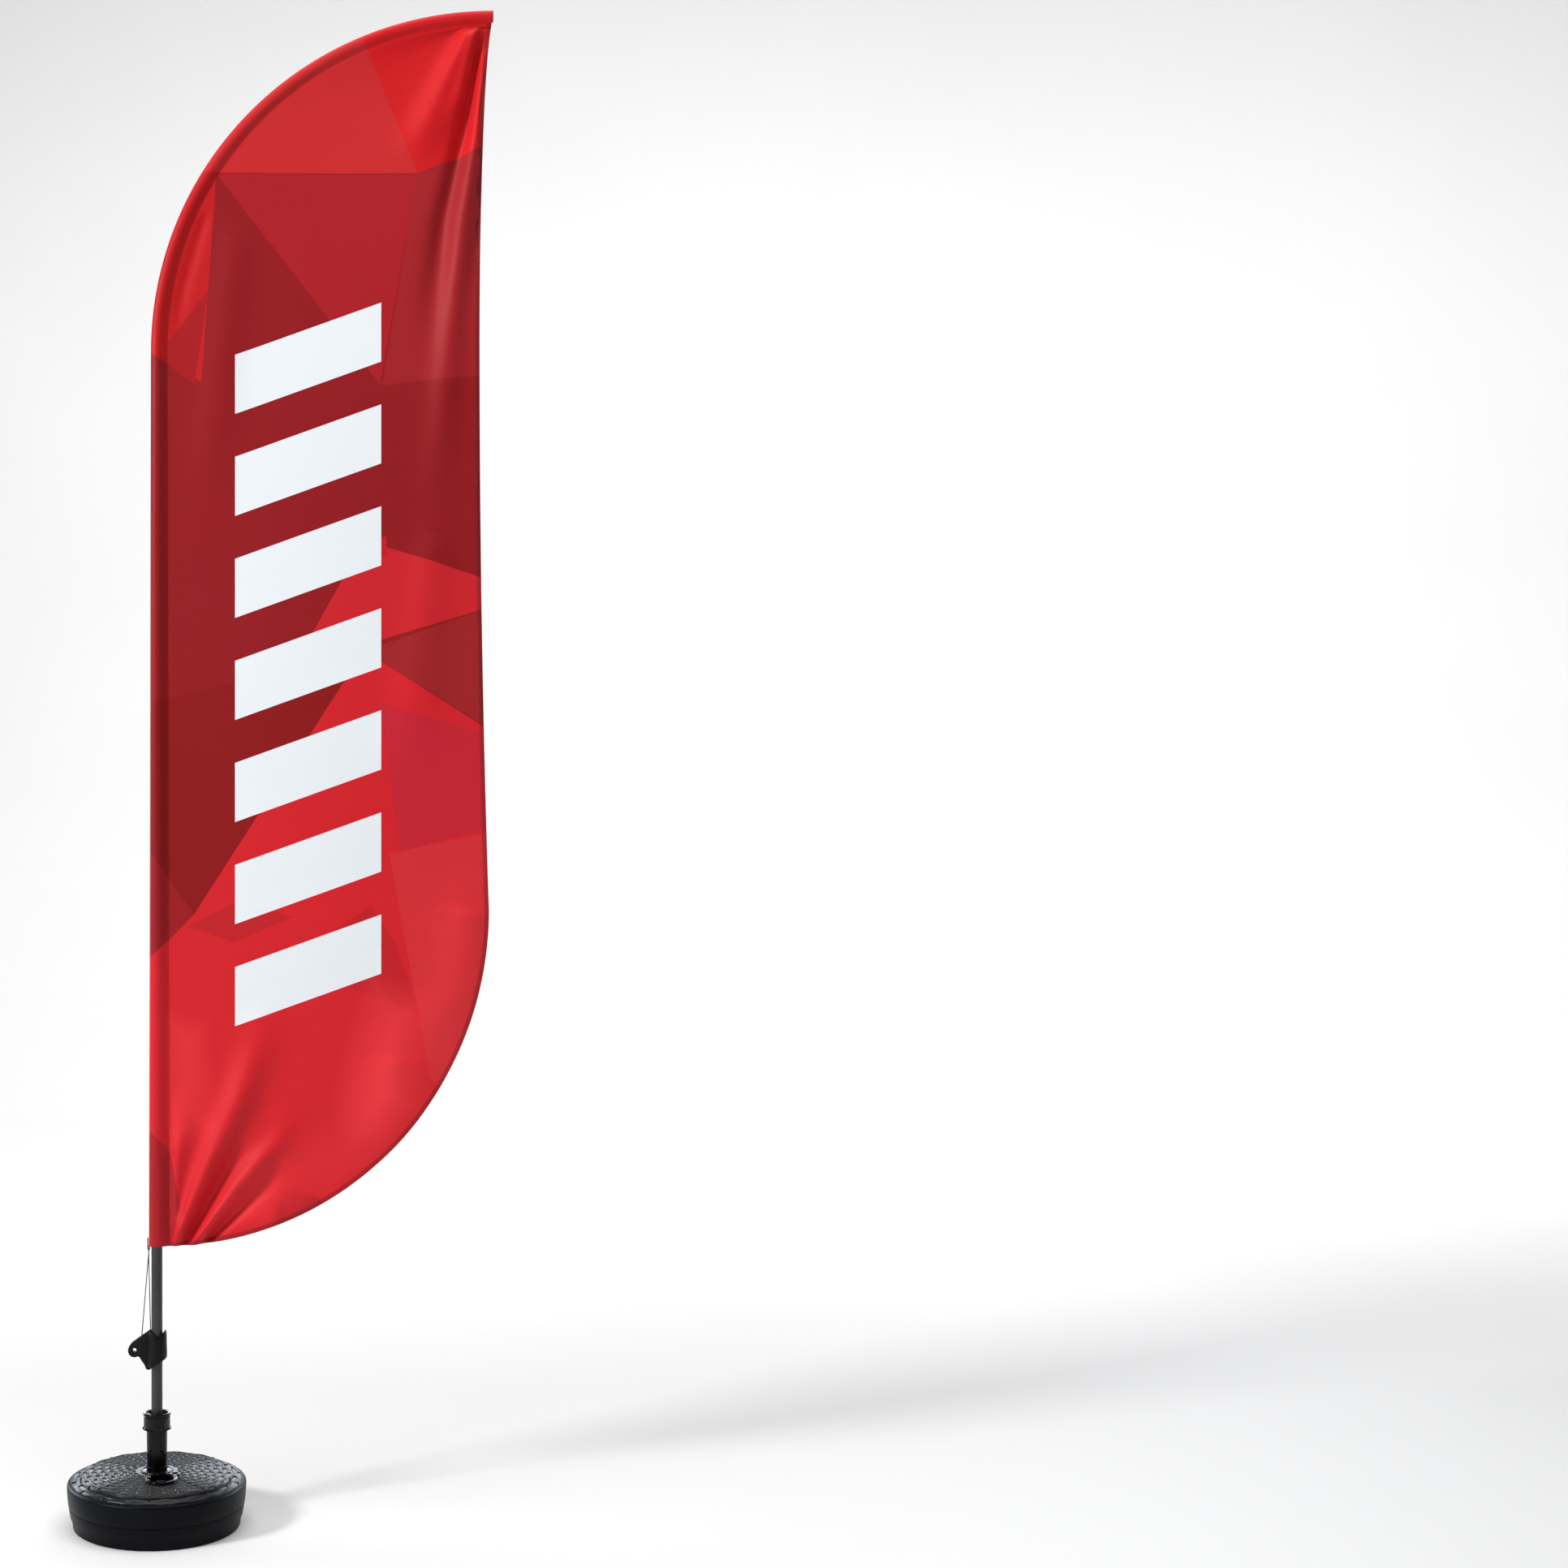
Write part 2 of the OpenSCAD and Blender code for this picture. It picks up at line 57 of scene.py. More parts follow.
# Places taken from the frame
TANK_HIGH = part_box("base_tank")[1]
SLEEVE_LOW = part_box("flag_sleeve")[0]
STEM_LOW, STEM_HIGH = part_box("stem_tube")
COLLAR_LOW, COLLAR_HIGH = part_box("clamp_collar")
CAP_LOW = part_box("filler_cap")[0]
SEAL_LOW, SEAL_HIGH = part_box("filler_seal")
MAST_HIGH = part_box("mast_lower")[1]
CROWN_H = TANK_HIGH[2]
BASE_R = TANK_HIGH[0]
FLAG_FOOT_H = SLEEVE_LOW[2]
MAST_R = MAST_HIGH[0]
SEAL_X = (SEAL_LOW[0] + SEAL_HIGH[0]) / 2
SEAL_Y = (SEAL_LOW[1] + SEAL_HIGH[1]) / 2

# The mast's bow: a quarter circle about a centre level with the bow's start
BOW_R = 845 * MM
BOW_START_H = 2953 * MM

# Free edge of the flag
WAIST_X, WAIST_H = 813 * MM, 2980 * MM
CORNER_X, CORNER_H = 836.5 * MM, 1550 * MM
CORNER_MID_X = 23.5 * MM
HEM_W = 12 * MM

# Sleeve: reach of its fold, reach of its seam and half depth, at foot, bow's start and tip
SLEEVE_FOOT = np.array([20.5, 32, 15.8]) * MM
SLEEVE_BOW = np.array([15.4, 25.6, 14]) * MM
SLEEVE_TIP = np.array([15.4, 15, 9]) * MM


# ---------------- camera

VIEW_WIDTH = 3.951
CAMERA_BACK = 5.8
CAMERA_H = 1.865
VIEW_MID_X = 1.58
CAMERA_SHIFT = 0.25
SENSOR = 36


def set_camera():
    data = bpy.data.cameras.new("camera")
    data.sensor_width = SENSOR
    data.lens = SENSOR * CAMERA_BACK / VIEW_WIDTH
    data.shift_x = CAMERA_SHIFT
    data.clip_end = 60
    camera = bpy.data.objects.new("camera", data)
    bpy.context.collection.objects.link(camera)
    camera.location = (VIEW_MID_X - CAMERA_SHIFT * VIEW_WIDTH, -CAMERA_BACK, CAMERA_H)
    camera.rotation_euler = (math.pi / 2, 0, 0)
    bpy.context.scene.camera = camera


# ---------------- modelling helpers

def deselect():
    if bpy.context.object and bpy.context.object.mode != "OBJECT":
        bpy.ops.object.mode_set(mode="OBJECT")
    bpy.ops.object.select_all(action="DESELECT")


def pick(obj):
    deselect()
    obj.select_set(True)
    bpy.context.view_layer.objects.active = obj


def edit(obj):
    """Open a mesh for editing with all of it selected."""
    pick(obj)
    bpy.ops.object.mode_set(mode="EDIT")
    bpy.ops.mesh.select_mode(type="VERT")
    bpy.ops.mesh.select_all(action="SELECT")


def name_new(name):
    obj = bpy.context.object
    obj.name = name
    obj.data.name = name
    return obj


def settle(obj, angle=35):
    """Put the place into the mesh, turn the faces outwards and shade the curves smooth."""
    pick(obj)
    bpy.ops.object.transform_apply(location=True, rotation=True, scale=True)
    edit(obj)
    bpy.ops.mesh.remove_doubles(threshold=0.00001)
    bpy.ops.mesh.normals_make_consistent(inside=False)
    bpy.ops.object.mode_set(mode="OBJECT")
    bpy.ops.object.shade_smooth_by_angle(angle=math.radians(angle))
    return obj


def select_vertices(obj, test):
    """Open a mesh for editing with the vertices that pass the test selected."""
    mesh = obj.data
    for parts in (mesh.polygons, mesh.edges):
        parts.foreach_set("select", [False] * len(parts))
    for vertex in mesh.vertices:
        vertex.select = bool(test(vertex.co))
    bpy.ops.object.mode_set(mode="EDIT")
    bpy.ops.mesh.select_mode(type="VERT")


def turned(name, profile, centre=(0, 0), steps=128):
    """A shape turned on a lathe: a ring is extruded from point to point of the half section."""
    deselect()
    least = 0.00002
    points = [(max(r, least), z) for r, z in profile]
    radius, height = points[0]
    bpy.ops.mesh.primitive_circle_add(
        vertices=steps, radius=radius, location=(centre[0], centre[1], height))
    obj = name_new(name)
    bpy.ops.object.mode_set(mode="EDIT")
    bpy.ops.mesh.select_all(action="SELECT")
    for (r, z), (next_r, next_z) in zip(points, points[1:]):
        bpy.ops.mesh.extrude_edges_move(TRANSFORM_OT_translate={"value": (0, 0, next_z - z)})
        grow = next_r / r
        bpy.ops.transform.resize(value=(grow, grow, 1))
    bpy.ops.mesh.select_all(action="SELECT")
    bpy.ops.mesh.remove_doubles(threshold=0.00006)
    bpy.ops.object.mode_set(mode="OBJECT")
    return obj


def lathe_points(base, points):
    """Points of a half section in millimetres, their heights counted from a base in metres."""
    return [(r * MM, base + z * MM) for r, z in points]


def arc(cx, cz, radius, start, stop, steps):
    """Points of an arc in a half section, in degrees."""
    return [(cx + radius * math.cos(math.radians(start + (stop - start) * i / steps)),
             cz + radius * math.sin(math.radians(start + (stop - start) * i / steps)))
            for i in range(steps + 1)]


def cloth_grid(name, across, along, place):
    """A grid of across x along cells, each vertex moved by place(u, v), u and v from 0 to 1."""
    deselect()
    bpy.ops.mesh.primitive_grid_add(x_subdivisions=across, y_subdivisions=along, size=1)
    obj = name_new(name)
    count = len(obj.data.vertices)
    flat = np.empty(count * 3)
    obj.data.vertices.foreach_get("co", flat)
    flat = flat.reshape(count, 3) + 0.5
    shaped = place(flat[:, 0].clip(0, 1), flat[:, 1].clip(0, 1))
    obj.data.vertices.foreach_set("co", np.asarray(shaped, dtype=float).ravel())
    obj.data.update()
    return obj


def grid_of(name, table):
    """A grid whose vertices are the (x, y, z) rows of a table, along by across."""
    along, across = table.shape[0] - 1, table.shape[1] - 1
    return cloth_grid(name, across, along, lambda u, v: table[
        np.rint(v * along).astype(int), np.rint(u * across).astype(int)])


def join_seams(obj, gap):
    """Merge the edges of a grid that meet, and leave its open rims selected."""
    edit(obj)
    bpy.ops.mesh.remove_doubles(threshold=gap)
    bpy.ops.mesh.select_all(action="DESELECT")
    bpy.ops.mesh.select_non_manifold()


def apply_modifier(obj, kind, **values):
    pick(obj)
    modifier = obj.modifiers.new(kind.title(), kind)
    for key, value in values.items():
        setattr(modifier, key, value)
    bpy.ops.object.modifier_apply(modifier=modifier.name)


def joined(name, objects):
    deselect()
    for obj in objects:
        obj.select_set(True)
    bpy.context.view_layer.objects.active = objects[0]
    if len(objects) > 1:
        bpy.ops.object.join()
    return name_new(name)


def new_curve(name, dimensions, thick, steps):
    curve = bpy.data.curves.new(name, "CURVE")
    curve.dimensions = dimensions
    curve.bevel_depth = thick
    curve.bevel_resolution = steps
    return curve


def draw_line(curve, places, kind, closed):
    """Add a line through the places, straight between them or as an automatic curve."""
    spline = curve.splines.new(kind)
    points = spline.points if kind == "POLY" else spline.bezier_points
    points.add(len(places) - 1)
    for point, place in zip(points, places):
        point.co = (*place, 1) if kind == "POLY" else place
        if kind == "BEZIER":
            point.handle_left_type = point.handle_right_type = "AUTO"
    spline.use_cyclic_u = closed


def curve_piece(curve):
    """The curve made into a mesh object."""
    obj = bpy.data.objects.new(curve.name, curve)
    bpy.context.collection.objects.link(obj)
    pick(obj)
    bpy.ops.object.convert(target="MESH")
    return bpy.context.object


def smoothstep(low, high, value):
    t = np.clip((value - low) / (high - low), 0, 1)
    return t * t * (3 - 2 * t)


# ---------------- materials

def srgb(red, green, blue):
    """A colour named by its 0 to 255 values, as the linear values that a shader takes."""
    def linear(value):
        value /= 255
        return value / 12.92 if value <= 0.04045 else ((value + 0.055) / 1.055) ** 2.4
    return (linear(red), linear(green), linear(blue), 1)


def new_material(name, **sockets):
    material = bpy.data.materials.new(name)
    material.use_nodes = True
    shader = material.node_tree.nodes["Principled BSDF"]
    for key, value in sockets.items():
        shader.inputs[key.replace("_", " ")].default_value = value
    return material, material.node_tree, shader


def node(tree, kind, **values):
    made = tree.nodes.new(kind)
    for key, value in values.items():
        setattr(made, key, value)
    return made


def math_node(tree, operation, *inputs, clamp=False):
    made = node(tree, "ShaderNodeMath", operation=operation, use_clamp=clamp)
    for socket, value in zip(made.inputs, inputs):
        if isinstance(value, (int, float)):
            socket.default_value = value
        else:
            tree.links.new(value, socket)
    return made.outputs[0]


def object_place(tree, scale=(1, 1, 1)):
    """Object coordinates, stretched by a scale on each axis."""
    coordinates = node(tree, "ShaderNodeTexCoord")
    mapping = node(tree, "ShaderNodeMapping")
    mapping.inputs["Scale"].default_value = scale
    tree.links.new(coordinates.outputs["Object"], mapping.inputs["Vector"])
    return mapping.outputs[0]


def noise(tree, place, scale, detail=3, roughness=0.5):
    made = node(tree, "ShaderNodeTexNoise")
    made.inputs["Scale"].default_value = scale
    made.inputs["Detail"].default_value = detail
    made.inputs["Roughness"].default_value = roughness
    tree.links.new(place, made.inputs["Vector"])
    return made.outputs["Fac"]


def spread(tree, value, low, high, to_low, to_high):
    """A value's stretch from low to high, mapped on to another stretch."""
    made = node(tree, "ShaderNodeMapRange")
    for key, number in (("From Min", low), ("From Max", high),
                        ("To Min", to_low), ("To Max", to_high)):
        made.inputs[key].default_value = number
    tree.links.new(value, made.inputs["Value"])
    return made.outputs[0]


def mix_colour(tree, factor, first, second):
    made = node(tree, "ShaderNodeMix", data_type="RGBA")
    for socket, value in ((made.inputs[0], factor), (made.inputs[6], first),
                          (made.inputs[7], second)):
        if isinstance(value, (int, float, tuple)):
            socket.default_value = value
        else:
            tree.links.new(value, socket)
    return made.outputs[2]


def base_colour(tree, shader, factor, first, second):
    """Colour the surface with a mix of two colours."""
    tree.links.new(mix_colour(tree, factor, first, second), shader.inputs["Base Color"])


def roughness(tree, shader, value, *stretch):
    """Roughen the surface by a value, spread from one stretch on to another."""
    tree.links.new(spread(tree, value, *stretch), shader.inputs["Roughness"])


def bump(tree, shader, heights, distance, strength=1):
    made = node(tree, "ShaderNodeBump")
    made.inputs["Strength"].default_value = strength
    made.inputs["Distance"].default_value = distance
    tree.links.new(heights, made.inputs["Height"])
    tree.links.new(made.outputs[0], shader.inputs["Normal"])


def moulded_plastic(name, colour, scuffed, low_rough, high_rough, grain, depth, shine=0.3):
    """Moulded plastic: cloudy roughness, faint scuffs and a fine surface grain."""
    material, tree, shader = new_material(name, Specular_IOR_Level=shine)
    place = object_place(tree)
    cloud = noise(tree, place, 14, 5, 0.6)
    scuff = noise(tree, object_place(tree, (1, 1, 6)), 60, 4, 0.7)
    mark = spread(tree, scuff, 0.6, 0.72, 0, 1)
    base_colour(tree, shader, mark, colour, scuffed)
    rough = math_node(tree, "ADD", spread(tree, cloud, 0.3, 0.7, low_rough, high_rough),
                      math_node(tree, "MULTIPLY", mark, 0.06))
    tree.links.new(rough, shader.inputs["Roughness"])
    bump(tree, shader, noise(tree, place, grain, 2, 0.5), depth)
    return material


def anodised_tube(name):
    """Dark grey drawn tube: fine lines along its length and a slightly worn sheen."""
    material, tree, shader = new_material(name, Metallic=0.3, Specular_IOR_Level=0.3)
    lines = noise(tree, object_place(tree, (1, 1, 0.012)), 900, 2, 0.6)
    wear = noise(tree, object_place(tree, (1, 1, 0.3)), 22, 4, 0.6)
    base_colour(tree, shader, spread(tree, wear, 0.35, 0.7, 0, 1), srgb(50, 51, 52),
                srgb(64, 65, 66))
    roughness(tree, shader, lines, 0.2, 0.8, 0.34, 0.5)
    bump(tree, shader, lines, 0.00006)
    return material


def glass_fibre(name):
    """Pultruded fibre rod: long grey fibres under resin."""
    material, tree, shader = new_material(name, Roughness=0.3, Coat_Weight=0.3)
    fibres = noise(tree, object_place(tree, (1, 1, 0.05)), 420, 3, 0.6)
    base_colour(tree, shader, fibres, srgb(38, 38, 40), srgb(74, 74, 76))
    bump(tree, shader, fibres, 0.00005)
    return material


def matt_rubber(name, colour, dusty, rough, shine):
    """Matt rubber with a trace of dust and a fine moulded grain."""
    material, tree, shader = new_material(name, Specular_IOR_Level=shine)
    place = object_place(tree)
    dust = noise(tree, place, 120, 4, 0.7)
    base_colour(tree, shader, spread(tree, dust, 0.45, 0.8, 0, 0.35), colour, dusty)
    roughness(tree, shader, dust, 0.3, 0.7, rough - 0.1, rough + 0.1)
    bump(tree, shader, noise(tree, place, 900, 2), 0.00012)
    return material


def still_water(name):
    """The water in the tank: clear, and a little cloudy."""
    material, tree, shader = new_material(name, Roughness=0.03, IOR=1.33)
    cloud = noise(tree, object_place(tree), 8, 2)
    base_colour(tree, shader, cloud, srgb(196, 214, 220), srgb(214, 226, 230))
    tree.links.new(spread(tree, cloud, 0.3, 0.7, 0.8, 0.95), shader.inputs["Transmission Weight"])
    return material


def zinc_plate(name):
    material, tree, shader = new_material(name, Metallic=1.0)
    spangle = noise(tree, object_place(tree), 500, 3, 0.6)
    base_colour(tree, shader, spangle, srgb(150, 152, 156), srgb(196, 198, 202))
    roughness(tree, shader, spangle, 0.3, 0.7, 0.25, 0.45)
    bump(tree, shader, spangle, 0.00005)
    return material


def braided_cord(name):
    """Black braid: two sets of strands that cross as they wind round the core."""
    material, tree, shader = new_material(name, Roughness=0.7, Specular_IOR_Level=0.3)
    place = object_place(tree)
    heights = []
    for lean in (1, -1):
        wave = node(tree, "ShaderNodeTexWave", bands_direction="Z")
        mapping = node(tree, "ShaderNodeMapping")
        mapping.inputs["Rotation"].default_value = (0.6 * lean, 0.6 * lean, 0)
        tree.links.new(place, mapping.inputs["Vector"])
        tree.links.new(mapping.outputs[0], wave.inputs["Vector"])
        wave.inputs["Scale"].default_value = 260
        heights.append(wave.outputs["Fac"])
    braid = math_node(tree, "MAXIMUM", *heights)
    # The colour is darker where the braid's relief is low: painted shade in the grooves between the
    # strands.
    base_colour(tree, shader, braid, srgb(8, 8, 9), srgb(24, 24, 26))
    bump(tree, shader, braid, 0.0002)
    return material


# Flag print: a low-poly field of reds, and a column of slanted white bars, under soft painted
# highlights.
# Corners of each facet are (x, z) in millimetres on the flat cloth, painted in order.
CLOTH_DARK = srgb(142, 14, 21)
EDGE_FADE = 1.2 * MM
FACETS = [
    ("ember field", (206, 26, 36), [(93, 1536), (522, 2200), (870, 1980), (870, 640), (93, 640)]),
    ("ember foot", (206, 26, 38), [(-40, 1413), (93, 1536), (94, 640), (-40, 640)]),
    ("top light", (194, 34, 37), [(40, 3405), (657, 3405), (480, 3840), (40, 3840)]),
    ("top right", (200, 16, 23), [(657, 3405), (870, 3488), (870, 3840), (480, 3840)]),
    ("trapezoid", (166, 20, 30), [(150, 3402), (657, 3402), (562, 2872)]),
    ("right veil", (157, 26, 32), [(657, 3405), (870, 3488), (870, 2900), (567, 2870)]),
    ("sleeve strip", (184, 15, 20), [(150, 3405), (112, 2879), (27, 2925), (-30, 2956),
                                     (-30, 3405)]),
    ("sleeve gleam", (160, 14, 21), [(27, 2980), (130, 3110), (95, 2873), (27, 2922)]),
    ("bright wedge", (199, 28, 38), [(345, 2161), (870, 2320), (870, 2368), (664, 2436),
                                     (522, 2477)]),
    ("bright notch", (190, 22, 30), [(522, 2477), (578, 2489), (580, 2440), (522, 2440)]),
    ("right shade", (156, 28, 33), [(522, 2200), (870, 2320), (870, 1985)]),
    ("left haze", (136, 8, 12), [(-40, 2064), (400, 2172), (486, 2149), (93, 1536),
                                  (-40, 1690)]),
    ("dark sliver", (130, 14, 24), [(345, 2161), (529, 2202), (486, 2149)]),
    ("corner gleam", (150, 18, 26), [(-17, 1695), (93, 1536), (27, 1468), (-30, 1420)]),
    ("rose veil", (194, 28, 46), [(590, 1861), (614, 1695), (870, 1763), (870, 1980),
                                  (560, 2070)]),
    ("right glow", (207, 41, 48), [(585, 1690), (870, 1750), (870, 1000), (690, 1120)]),
    ("low shade", (190, 24, 32), [(400, 1466), (540, 1560), (602, 1459), (662, 1290),
                                  (478, 1355)]),
    ("left shade", (188, 26, 34), [(77, 1504), (210, 1575), (343, 1530), (194, 1466)]),
    ("hem shade", (176, 22, 30), [(283, 761), (326, 845), (412, 820), (470, 760), (380, 700)]),
    ("foot shade", (168, 24, 32), [(-40, 1015), (32, 945), (60, 800), (32, 690), (-40, 690)]),
]
# Painted highlights: soft patches of light painted over the print, each fading out over a width in
# millimetres.
PAINTED_HIGHLIGHTS = [
    ("low glow", (228, 50, 58), 130, [(560, 1330), (650, 1300), (640, 1060), (480, 940),
                                      (500, 1100)]),
    ("foot glow", (220, 42, 50), 60, [(34, 1270), (110, 1250), (130, 1000), (40, 960)]),
    ("hem glow", (214, 34, 42), 90, [(150, 800), (330, 800), (520, 930), (420, 990)]),
    ("foot light", (224, 38, 46), 40, [(180, 745), (290, 765), (300, 850), (230, 800)]),
]
BAR_WHITE = srgb(229, 234, 238)
BAR_LEFT, BAR_RIGHT = 0.197, 0.565
BAR_FOOT = 1.255
BAR_PITCH = 0.257
BAR_SHARE = 0.58
BAR_COUNT = 7
BAR_SLANT = 0.36


def print_and_painted_light_group():
    """Node group that gives the print's colour, with the painted highlights over it, at a place on
    the cloth.
    """
    tree = bpy.data.node_groups.new("flag_print_and_painted_light", "ShaderNodeTree")
    tree.interface.new_socket("Color", in_out="OUTPUT", socket_type="NodeSocketColor")
    out = node(tree, "NodeGroupOutput")
    coordinates = node(tree, "ShaderNodeTexCoord")
    level = node(tree, "ShaderNodeVectorMath", operation="MULTIPLY_ADD")
    level.inputs[1].default_value = (1, 0, 1)
    level.inputs[2].default_value = (0, 1, 0)
    tree.links.new(coordinates.outputs["Object"], level.inputs[0])
    flat = level.outputs[0]

    def mask(corners, soft):
        """1 inside a convex outline of (x, z) corners, 0 outside, fading over soft metres."""
        corners = [(x * MM, z * MM) for x, z in corners]
        middle = np.mean(corners, axis=0)
        depth = None
        for (x1, z1), (x2, z2) in zip(corners, corners[1:] + corners[:1]):
            normal = np.array([z1 - z2, x2 - x1]) / math.hypot(x2 - x1, z2 - z1)
            if np.dot(normal, middle - np.array([x1, z1])) < 0:
                normal = -normal
            dot = node(tree, "ShaderNodeVectorMath", operation="DOT_PRODUCT")
            offset = -float(normal[0] * x1 + normal[1] * z1)
            dot.inputs[1].default_value = (normal[0], offset, normal[1])
            tree.links.new(flat, dot.inputs[0])
            reach = dot.outputs["Value"]
            depth = reach if depth is None else math_node(tree, "MINIMUM", depth, reach)
        return math_node(tree, "MULTIPLY_ADD", depth, 1 / soft, 0.5, clamp=True)

    colour = CLOTH_DARK
    for _, shade, corners in FACETS:
        colour = mix_colour(tree, mask(corners, EDGE_FADE), colour, srgb(*shade))
    # Soft painted highlights laid over the facets.
    for _, shade, width, corners in PAINTED_HIGHLIGHTS:
        colour = mix_colour(tree, mask(corners, width * MM), colour, srgb(*shade))
    drift = noise(tree, coordinates.outputs["Object"], 1.7, 2, 0.5)
    drift = spread(tree, drift, 0.3, 0.7, 0.97, 1.03)
    tint = node(tree, "ShaderNodeVectorMath", operation="SCALE")
    tree.links.new(colour, tint.inputs[0])
    tree.links.new(drift, tint.inputs["Scale"])
    axes = node(tree, "ShaderNodeSeparateXYZ")
    tree.links.new(flat, axes.inputs[0])
    lift = math_node(tree, "MULTIPLY_ADD", axes.outputs["X"], -BAR_SLANT / BAR_PITCH,
                     (BAR_SLANT * BAR_LEFT - BAR_FOOT) / BAR_PITCH)
    turn = math_node(tree, "ADD", lift,
                     math_node(tree, "MULTIPLY", axes.outputs["Z"], 1 / BAR_PITCH))
    part = math_node(tree, "FRACT", turn)
    bars = math_node(tree, "LESS_THAN", part, BAR_SHARE)
    for limit in (math_node(tree, "GREATER_THAN", turn, 0),
                  math_node(tree, "LESS_THAN", turn, BAR_COUNT),
                  math_node(tree, "GREATER_THAN", axes.outputs["X"], BAR_LEFT),
                  math_node(tree, "LESS_THAN", axes.outputs["X"], BAR_RIGHT)):
        bars = math_node(tree, "MULTIPLY", bars, limit)
    tree.links.new(mix_colour(tree, bars, tint.outputs[0], BAR_WHITE), out.inputs[0])
    return tree


def cloth_with_print_and_painted_light(name, group, painted_shade_scale=1.0, rough=0.52):
    """Knitted polyester with the print: fine knit bump, soft sheen and a slight mottle. A scale
    below 1 darkens the colour, as painted shade.
    """
    material, tree, shader = new_material(
        name, Specular_IOR_Level=0.2, Sheen_Weight=0.06, Sheen_Roughness=0.4)
    picture = node(tree, "ShaderNodeGroup", node_tree=group)
    shade = node(tree, "ShaderNodeVectorMath", operation="SCALE")
    tree.links.new(picture.outputs[0], shade.inputs[0])
    mottle = noise(tree, object_place(tree), 260, 3, 0.6)
    tree.links.new(spread(tree, mottle, 0.3, 0.7, 0.985 * painted_shade_scale, 1.015 * painted_shade_scale),
                   shade.inputs["Scale"])
    tree.links.new(shade.outputs[0], shader.inputs["Base Color"])
    roughness(tree, shader, mottle, 0.3, 0.7, rough - 0.05, rough + 0.05)
    knit = []
    for direction in ("X", "Z"):
        wave = node(tree, "ShaderNodeTexWave", bands_direction=direction)
        wave.inputs["Scale"].default_value = 320
        wave.inputs["Distortion"].default_value = 0.6
        tree.links.new(object_place(tree), wave.inputs["Vector"])
        knit.append(wave.outputs["Fac"])
    bump(tree, shader, math_node(tree, "MULTIPLY", *knit), 0.00012, 0.6)
    return material


def sewing_thread(name):
    material, tree, shader = new_material(name, Roughness=0.6, Sheen_Weight=0.3)
    twist = noise(tree, object_place(tree), 1500, 2)
    base_colour(tree, shader, twist, srgb(120, 18, 24), srgb(168, 30, 36))
    bump(tree, shader, twist, 0.0001)
    return material


def plain_floor(name):
    material, tree, shader = new_material(name, Roughness=0.85, Specular_IOR_Level=0.1)
    cloud = noise(tree, object_place(tree), 0.7, 2)
    base_colour(tree, shader, cloud, (0.86, 0.86, 0.86, 1), (0.9, 0.9, 0.9, 1))
    return material


FLAG_PRINT_AND_PAINTED_LIGHT = print_and_painted_light_group()
TANK_SIDE = moulded_plastic("tank_side", srgb(8, 10, 14), srgb(18, 21, 27), 0.34, 0.46,
                            900, 0.00012, 0.08)
WATER = still_water("tank_water")
TANK_LID = moulded_plastic("tank_lid", srgb(9, 11, 16), srgb(19, 22, 29), 0.28, 0.38,
                           700, 0.00005, 0.5)
GLOSS_BLACK = moulded_plastic("gloss_black", srgb(6, 6, 8), srgb(14, 14, 17), 0.1, 0.18,
                              600, 0.00002, 0.16)
KNURLED_BLACK = moulded_plastic("knurled_black", srgb(7, 7, 9), srgb(18, 18, 22), 0.2, 0.3,
                                1300, 0.0009, 0.25)
ANODISED = anodised_tube("anodised_tube")
FIBRE = glass_fibre("glass_fibre")
RUBBER = matt_rubber("seal_rubber", srgb(26, 26, 27), srgb(52, 52, 54), 0.75, 0.35)
CLIP_BLACK = matt_rubber("clip_rubber", srgb(6, 6, 7), srgb(24, 24, 26), 0.6, 0.2)
ZINC = zinc_plate("zinc_plate")
BRAID = braided_cord("braided_cord")
PANEL_CLOTH = cloth_with_print_and_painted_light("panel_cloth", FLAG_PRINT_AND_PAINTED_LIGHT)
# The sleeve and the hem are darker copies of the printed cloth: painted shade.
SLEEVE_CLOTH = cloth_with_print_and_painted_light("sleeve_cloth", FLAG_PRINT_AND_PAINTED_LIGHT, 0.95)
HEM_CLOTH = cloth_with_print_and_painted_light("hem_cloth", FLAG_PRINT_AND_PAINTED_LIGHT, 0.62)
THREAD = sewing_thread("sewing_thread")
FLOOR = plain_floor("pale_floor")


def finish_piece(obj, material, body, slot, *stands_for):
    obj.data.materials.clear()
    obj.data.materials.append(material)
    if body:
        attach(obj, body)
    if stands_for:
        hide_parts(*stands_for)
    return obj


# ---------------- tension cord

CORD_R = 1.2 * MM
CORD_ROUTE = [(x * MM, y * MM, z * MM) for x, y, z in [
    (-38, 0, 476), (-36, 0.5, 500), (-32, 1.8, 550), (-28, 3, 600), (-24, 4.2, 650),
    (-21.5, 4.9, 680), (-20.5, 5, 690), (-20.5, 4.3, 693), (-20.5, 2.5, 695),
    (-20.5, 0, 695.8), (-20.5, -2.5, 695), (-20.5, -4.3, 693), (-20.5, -5, 690),
    (-20.2, -5.2, 680), (-19.4, -5.8, 650), (-18, -6.8, 600), (-16.7, -7.8, 550),
    (-15.3, -8.8, 500), (-15, -9, 490)]]


def tension_cord():
    """The elastic cord, up through the sleeve's tab and back down to the clip."""
    curve = new_curve("elastic_cord", "3D", CORD_R, 3)
    curve.use_fill_caps = True
    draw_line(curve, CORD_ROUTE, "POLY", False)
    obj = settle(curve_piece(curve), 60)
    finish_piece(obj, BRAID, None, "elastic_cord", "tension_cord")
    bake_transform(obj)
    return obj


# ---------------- base tank

